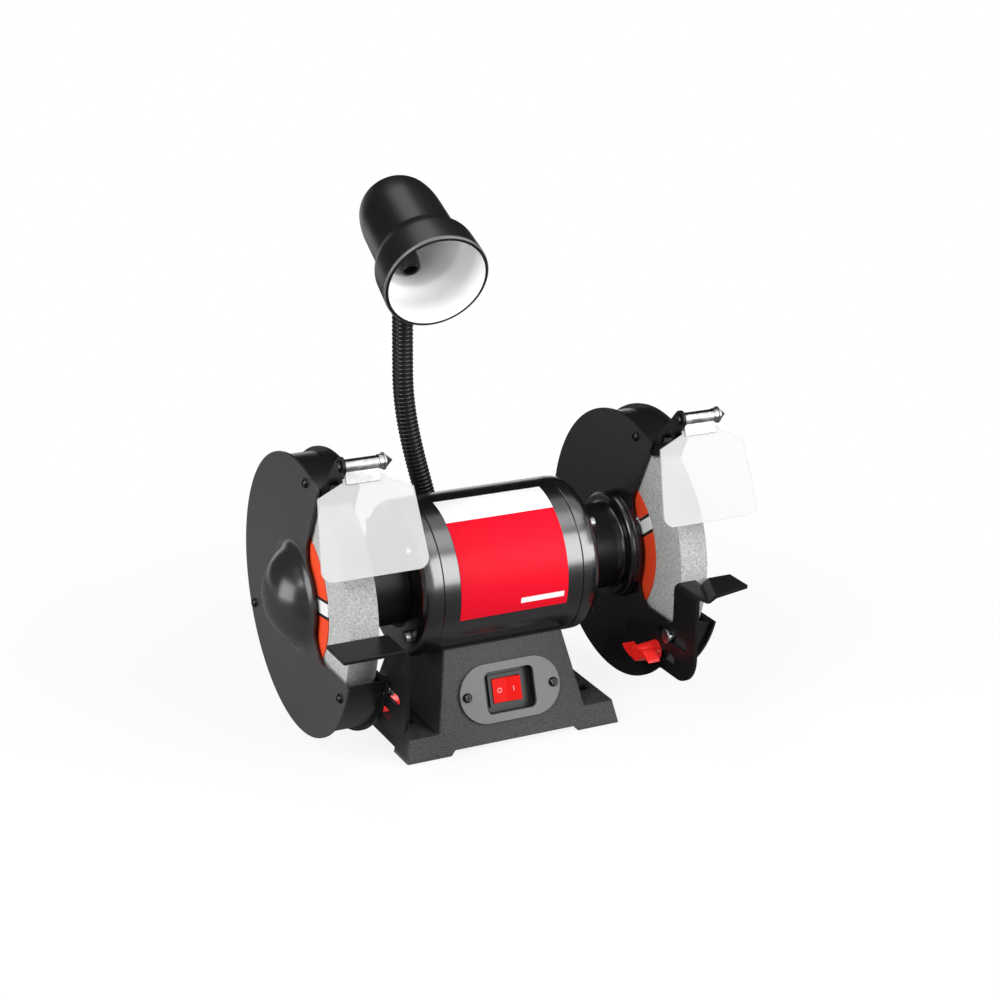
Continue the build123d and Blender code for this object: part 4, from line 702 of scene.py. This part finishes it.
def islands(name):
    """Low and high corner of each separate solid of a CAD node."""
    work = bmesh.new()
    work.from_mesh(frame["nodes"][name].data)
    bmesh.ops.remove_doubles(work, verts=work.verts, dist=WELD)
    left = set(work.verts)
    boxes = []
    while left:
        group = [left.pop()]
        for vert in group:
            for edge in vert.link_edges:
                other = edge.other_vert(vert)
                if other in left:
                    left.remove(other)
                    group.append(other)
        low = Vector(min(vert.co[k] for vert in group) for k in range(3))
        high = Vector(max(vert.co[k] for vert in group) for k in range(3))
        boxes.append((low, high))
    work.free()
    return sorted(boxes, key=lambda box: tuple(box[0]))


for side in ("left", "right"):
    soften("guard_" + side, GUARD_EDGE, guard_black)
    soften("guard_cover_" + side, GUARD_EDGE, cover_black, flat=COVER_FLAT)
wheel_low, wheel_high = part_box("wheel_right")
wheel_mid = (wheel_low.x + wheel_high.x) / 2
seats, axes = [], []
for low, high in islands("cover_screws"):
    middle = (low + high) / 2
    away = math.copysign(1, abs(middle.x) - wheel_mid) * math.copysign(1, middle.x)
    head = (high if away > 0 else low).x - away * PAN_HEIGHT
    seats.append((head, middle.y, middle.z))
    axes.append((away, 0, 0))
cover_screws = screws("cover_screws_skin", COVER_SCREW_LENGTH, COVER_SCREW_SEED, seats, axes)
piece_from("cover_screws_skin", cover_screws, "frame", "bright_steel", "cover_screws")
dress(zinc, "guard_bolts")

# Tool rests: bent steel plates on slotted feet, each held by a guide screw and a red moulded knob,
# whose slim wings curl to opposite sides.
REST_EDGE = 0.0005
REST_BOLT_EDGE = 0.0004
GUIDE_EDGE = 0.0006
KNOB_EDGE = 0.0014
KNOB_HUB = 0.0085             # radius where the wings leave the hub
KNOB_TIP = 0.0205
KNOB_BOLT = 0.0042            # the bolt inside this radius stays round
KNOB_ROOT_X = 0.1200          # so does the hub's root, this far out from the motor's middle
KNOB_CURL = {"left": -0.0040, "right": 0.0040}
KNOB_FLAT = 0.76              # thickness of the wings against the solid's
KNOB_TAPER = 0.20             # share of it lost towards the tips
KNOB_TURN_DEG = {"left": 84.0, "right": -20.0}
rest_black = finish(
    "rest_black", (0.007, 0.007, 0.008), 0.36, grain_scale=500.0, grain=0.04, specular=0.18)
knob_red = finish("knob_red", (0.90, 0.018, 0.014), 0.26, 0.05, specular=0.5)
for side in ("left", "right"):
    soften("tool_rest_" + side, REST_EDGE, rest_black)
    turn = Matrix.Rotation(math.radians(KNOB_TURN_DEG[side]), 3, "X")
    pivot = Vector(joint["knob_turn_" + side]["pos_m"])
    for vert in soften("wing_knob_" + side, KNOB_EDGE, knob_red, segments=4).data.vertices:
        depth, along, aside = turn.inverted() @ (vert.co - pivot)
        share = max(abs(along) - KNOB_HUB, 0) / (KNOB_TIP - KNOB_HUB)
        if math.hypot(along, aside) > KNOB_BOLT and abs(vert.co.x) < KNOB_ROOT_X:
            aside = aside * KNOB_FLAT * (1 - KNOB_TAPER * share)
        aside += math.copysign(share ** 2, along) * KNOB_CURL[side]
        vert.co = pivot + turn @ Vector((depth, along, aside))
soften("rest_bolts", REST_BOLT_EDGE, zinc)
soften("guide_screws", GUIDE_EDGE, dull_steel)

# Spark arrestors with the eye shields: bent black strips, plated clips and milky clear sheets on
# pivots with cone nuts.
CLIP_GREY = (0.38, 0.384, 0.388, 1)
FLAP_SHADE_GREY = (0.31, 0.312, 0.315, 1)
SLOT_SHADE = (0.02, 0.02, 0.021, 1)
CLIP_SLOT = 0.0030            # height above the hinge line where the painted shade of the rolled sheet's slot starts
CLIP_FLAP = -0.0050           # height below which it lies flat on the shield and is painted a darker grey as shade
SLOT_LEAN = (0.30, 0.95)      # the slot's upward direction, in y and z
CLIP_EDGE = 0.0003
ARRESTOR_EDGE = 0.0004
ARRESTOR_SCREW_EDGE = 0.0005
PIVOT_EDGE = 0.0004
SHIELD_EDGE = 0.0003
SHIELD_ALPHA = 0.54
CONE_PROFILE = (              # (radius, distance from the hinge's middle)
    (0, 0.0172), (0.0056, 0.0172), (0.0056, 0.0205), (0.0067, 0.0209), (0.0067, 0.0219),
    (0.0060, 0.0222), (0.0005, 0.0287), (0, 0.0289))
CONE_FROM = 5                 # first point of the profile's dark part
CONE_SIDES = 48
shield_sheet = finish("shield_sheet", (0.62, 0.625, 0.62), 0.25, 0.01, specular=0.3)
shield_sheet.node_tree.nodes["Principled BSDF"].inputs["Alpha"].default_value = SHIELD_ALPHA
cone_grey = finish("cone_grey", (0.10, 0.10, 0.105), 0.4, 0.1, 90.0, metallic=1.0)
clip_steel = finish("clip_steel", CLIP_GREY[:3], 0.5, 0.35, 170.0, 0.1, 600.0, 0.08, metallic=1.0)
_, hinge_y, hinge_z = joint["shield_hinge_right"]["pos_m"]
tree = clip_steel.node_tree
spot = node(tree, "ShaderNodeTexCoord").outputs["Object"]
y, z = node(tree, "ShaderNodeSeparateXYZ", {0: spot}).outputs[1:]
lean = sums(tree, "MULTIPLY", sums(tree, "SUBTRACT", y, hinge_y), SLOT_LEAN[0])
above = sums(tree, "MULTIPLY_ADD", sums(tree, "SUBTRACT", z, hinge_z), SLOT_LEAN[1], lean)
# Above that line the clip is painted near black: painted shade for the open slot of the rolled sheet.
dark = sums(tree, "GREATER_THAN", above, CLIP_SLOT)
# The flat flap gets a darker grey than the plating: painted shade that damps the front lamp's
# reflection on it.
plating_and_flap_shade = printed(tree, sums(tree, "LESS_THAN", above, CLIP_FLAP), CLIP_GREY, FLAP_SHADE_GREY)
repaint(tree, printed(tree, dark, plating_and_flap_shade, SLOT_SHADE))
for side in ("left", "right"):
    soften("spark_arrestor_" + side, ARRESTOR_EDGE, rest_black)
    soften("shield_clip_" + side, CLIP_EDGE, clip_steel)
    soften("eye_shield_" + side, SHIELD_EDGE, shield_sheet)
    soften("shield_pivot_" + side, PIVOT_EDGE, screw_black)
    along = Matrix(((0, 0, 1), (1, 0, 0), (0, 1, 0))).to_4x4()
    along.translation = Vector(joint["shield_hinge_" + side]["pos_m"])
    work = bmesh.new()
    turned(work, CONE_PROFILE[:CONE_FROM + 1], along, CONE_SIDES)
    turned(work, CONE_PROFILE[CONE_FROM:], along, CONE_SIDES, 1)
    name = "cone_nut_" + side
    cone = finished(work, name + "_skin", dull_steel, cone_grey)
    piece_from(name + "_skin", cone, frame["nodes"][name]["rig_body"], slot_of[name], name)
soften("arrestor_screws", ARRESTOR_SCREW_EDGE, screw_black)

# Lamp neck: a nut on the base's boss and a ribbed flexible tube that leans over on its way up to a
# turned ferrule.
NECK_Y = 0.080
NECK_LEAN = -0.0345           # sideways reach of the bend
NECK_FROM, NECK_TO = 0.0475, 0.3543       # heights of the tube's ends
BEND_FROM, BEND_TO = 0.0825, 0.2845       # heights between which it leans over
NECK_CORE = 0.0083
NECK_CREST = 0.0090
NECK_RIB = 0.0011
NECK_PITCH = 0.0035
NECK_STEPS = 120
NECK_SIDES = 28
RIB_SIDES = 8
NUT_EDGE = 0.0008


def ribbed_neck():
    """Geometry nodes: a core swept along a path, with a ring at every pitch."""
    group = bpy.data.node_groups.new("ribbed_neck", "GeometryNodeTree")
    socket = group.interface.new_socket
    socket("Path", in_out="INPUT", socket_type="NodeSocketGeometry")
    for name in ("Core Radius", "Crest Radius", "Rib Radius", "Pitch"):
        socket(name, in_out="INPUT", socket_type="NodeSocketFloat")
    socket("Material", in_out="INPUT", socket_type="NodeSocketMaterial")
    socket("Neck", in_out="OUTPUT", socket_type="NodeSocketGeometry")
    given = node(group, "NodeGroupInput").outputs

    def circle(radius, resolution):
        return node(group, "GeometryNodeCurvePrimitiveCircle", {
            "Resolution": resolution, "Radius": radius}).outputs[0]

    path = node(group, "GeometryNodeMeshToCurve", {"Mesh": given["Path"]}).outputs[0]
    core = node(group, "GeometryNodeCurveToMesh", {
        "Curve": path, "Profile Curve": circle(given["Core Radius"], NECK_SIDES),
        "Fill Caps": True}).outputs[0]
    middle = sums(group, "SUBTRACT", given["Crest Radius"], given["Rib Radius"])
    rib = node(group, "GeometryNodeCurveToMesh", {
        "Curve": circle(middle, NECK_SIDES),
        "Profile Curve": circle(given["Rib Radius"], RIB_SIDES)}).outputs[0]
    stops = node(group, "GeometryNodeResampleCurve", {
        "Curve": path, "Length": given["Pitch"]}, mode="LENGTH").outputs[0]
    tangent = node(group, "GeometryNodeInputTangent").outputs[0]
    along = node(group, "FunctionNodeAlignRotationToVector", {"Vector": tangent}, axis="Z").outputs[0]
    ribs = node(group, "GeometryNodeInstanceOnPoints", {
        "Points": stops, "Instance": rib, "Rotation": along}).outputs[0]
    whole = node(group, "GeometryNodeJoinGeometry", {0: core})
    group.links.new(node(group, "GeometryNodeRealizeInstances", {0: ribs}).outputs[0], whole.inputs[0])
    painted = node(group, "GeometryNodeSetMaterial", {
        "Geometry": whole.outputs[0], "Material": given["Material"]}).outputs[0]
    node(group, "NodeGroupOutput", {"Neck": painted})
    return group


def neck_point(height):
    """Middle of the tube at a height."""
    share = min(max((height - BEND_FROM) / (BEND_TO - BEND_FROM), 0.0), 1.0)
    return (NECK_LEAN * (1 - math.cos(math.pi * share)) / 2, NECK_Y, height)


neck_black = finish("neck_black", (0.005, 0.005, 0.005), 0.3, specular=0.3)
heights = [NECK_FROM + (NECK_TO - NECK_FROM) * k / NECK_STEPS for k in range(NECK_STEPS + 1)]
path = [neck_point(height) for height in heights]
neck_mesh = grown("neck_tube", ribbed_neck(), {
    "Core Radius": NECK_CORE, "Crest Radius": NECK_CREST, "Rib Radius": NECK_RIB, "Pitch": NECK_PITCH,
    "Material": neck_black}, path, [(k, k + 1) for k in range(NECK_STEPS)])
neck = bpy.data.objects.new("neck_tube", neck_mesh)
scene.collection.objects.link(neck)
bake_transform(neck)
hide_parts("neck_lower", "neck_upper")
soften("lamp_socket", NUT_EDGE, sheet_black)
soften("lamp_ferrule", NUT_EDGE, neck_black)

# Lamp shade: spun sheet in satin black, enamelled white inside, with a swivel stub below and a
# moulded lamp holder leaning in from the crown.
SHADE_MOUTH = Vector((-0.03691, 0.00599, 0.37538))
SHADE_LOOK = Vector((-0.0356, -0.9053, -0.4233))
SHADE_PROFILE = (             # (radius, distance behind the mouth, round), to the lip and back inside
    (0, 0.1170, 0), (0.0155, 0.1170, 0.004), (0.0285, 0.1088, 0.010), (0.0340, 0.0902, 0.010),
    (0.0355, 0.0400, 0.003), (0.0424, 0.0315, 0.006), (0.0440, 0, 0.0026), (0.0406, 0, 0.0008),
    (0.0400, 0.0310, 0.006), (0.0335, 0.0390, 0.003), (0.0320, 0.0902, 0.010),
    (0.0270, 0.1072, 0.009), (0.0145, 0.1150, 0.004), (0, 0.1150, 0))
SHADE_SIDES = 96
LIP_HIGHLIGHT = (0.0002, 0.0032)   # painted highlight round the lip's rolled edge, by its distance behind the mouth
HOLDER_TIP = Vector((-0.03648, 0.05771, 0.37335))
HOLDER_PROFILE = (            # (radius, distance from the crown)
    (0, 0), (0.0035, 0), (0.0066, 0.0025), (0.0070, 0.030), (0.0092, 0.064), (0.0092, 0.068),
    (0.0082, 0.0715), (0.0068, 0.0725), (0.0058, 0.0715), (0.0055, 0.0600), (0, 0.0600))
HOLDER_SIDES = 48
CONTACT_PROFILE = ((0, 0.0595), (0.0030, 0.0595), (0.0030, 0.0625), (0.0018, 0.0640), (0, 0.0642))
CONTACT_SIDES = 24
STUB_RADIUS = 0.0110
STUB_FROM = 0.3635
STUB_INTO = 0.0010            # depth of the stub's end inside the shade's wall
STUB_SIDES = 40
STUB_RINGS = (                # (share of the radius, rise), where no rise means up to the wall
    (0, 0), (0.9, 0), (1, 0.001), (1, None), (0.66, None), (0.33, None), (0, None))
shade_black = finish(
    "shade_black", (0.007, 0.007, 0.008), 0.36, grain_scale=800.0, grain=0.03, specular=0.36)
# Light grey painted on the lip's outer rounding as a highlight where the rolled edge catches the light.
lip_highlight_grey = finish("lip_highlight_grey", (0.10, 0.10, 0.105), 0.3, specular=0.6)
shade_white = finish("shade_white", (0.94, 0.94, 0.94), 0.4, 0.02, specular=0.4)
holder_black = finish("holder_black", (0.008, 0.008, 0.009), 0.2, specular=0.5)
back = -SHADE_LOOK.normalized()
shade_x = back.cross(Vector((0, 0, 1))).normalized()
shade_place = Matrix((shade_x, back.cross(shade_x), back)).transposed().to_4x4()
shade_place.translation = SHADE_MOUTH
lip = [corner[1] for corner in SHADE_PROFILE].index(0) + 2
work = bmesh.new()
turned(work, rounded(SHADE_PROFILE[:lip]), shade_place, SHADE_SIDES)
inside = [SHADE_PROFILE[lip - 1][:2]] + rounded(SHADE_PROFILE[lip - 1:])
turned(work, inside, shade_place, SHADE_SIDES, 1)
inward = shade_place.inverted()
# Faces of the lip's outer rounding take the light grey: a painted highlight.
for shell_face in work.faces:
    spot = inward @ shell_face.calc_center_median()
    if LIP_HIGHLIGHT[0] < spot.z < LIP_HIGHLIGHT[1] and shell_face.material_index == 0:
        shell_face.material_index = 2
wall = BVHTree.FromBMesh(work)
turn_at = joint["lamp_turn"]["pos_m"]
rings = []
for share, rise in STUB_RINGS:
    ring = []
    for k in range(STUB_SIDES):
        turn = 2 * math.pi * k / STUB_SIDES
        foot = Vector((turn_at[0] + share * STUB_RADIUS * math.cos(turn),
                       turn_at[1] + share * STUB_RADIUS * math.sin(turn), STUB_FROM))
        reach = wall.ray_cast(foot, Vector((0, 0, 1)))[3] + STUB_INTO if rise is None else rise
        ring.append(work.verts.new(foot + Vector((0, 0, reach))))
    rings.append(ring)
for lower, upper in zip(rings, rings[1:]):
    for k in range(STUB_SIDES):
        work.faces.new((lower[k - 1], lower[k], upper[k], upper[k - 1]))
shade = finished(work, "lamp_shade_skin", shade_black, shade_white, lip_highlight_grey)
piece_from("lamp_shade_skin", shade, "lamp_head", "shade_black", "lamp_shade")
holder_top = shade_place @ Vector((0, 0, SHADE_PROFILE[-1][1]))
holder_place = (HOLDER_TIP - holder_top).to_track_quat("Z", "Y").to_matrix().to_4x4()
holder_place.translation = holder_top
work = bmesh.new()
turned(work, HOLDER_PROFILE, holder_place, HOLDER_SIDES)
turned(work, CONTACT_PROFILE, holder_place, CONTACT_SIDES, 1)
holder = finished(work, "lamp_holder_skin", holder_black, zinc)
piece_from("lamp_holder_skin", holder, "lamp_head", "black_plastic", "lamp_holder", "lamp_contact")

low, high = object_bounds()
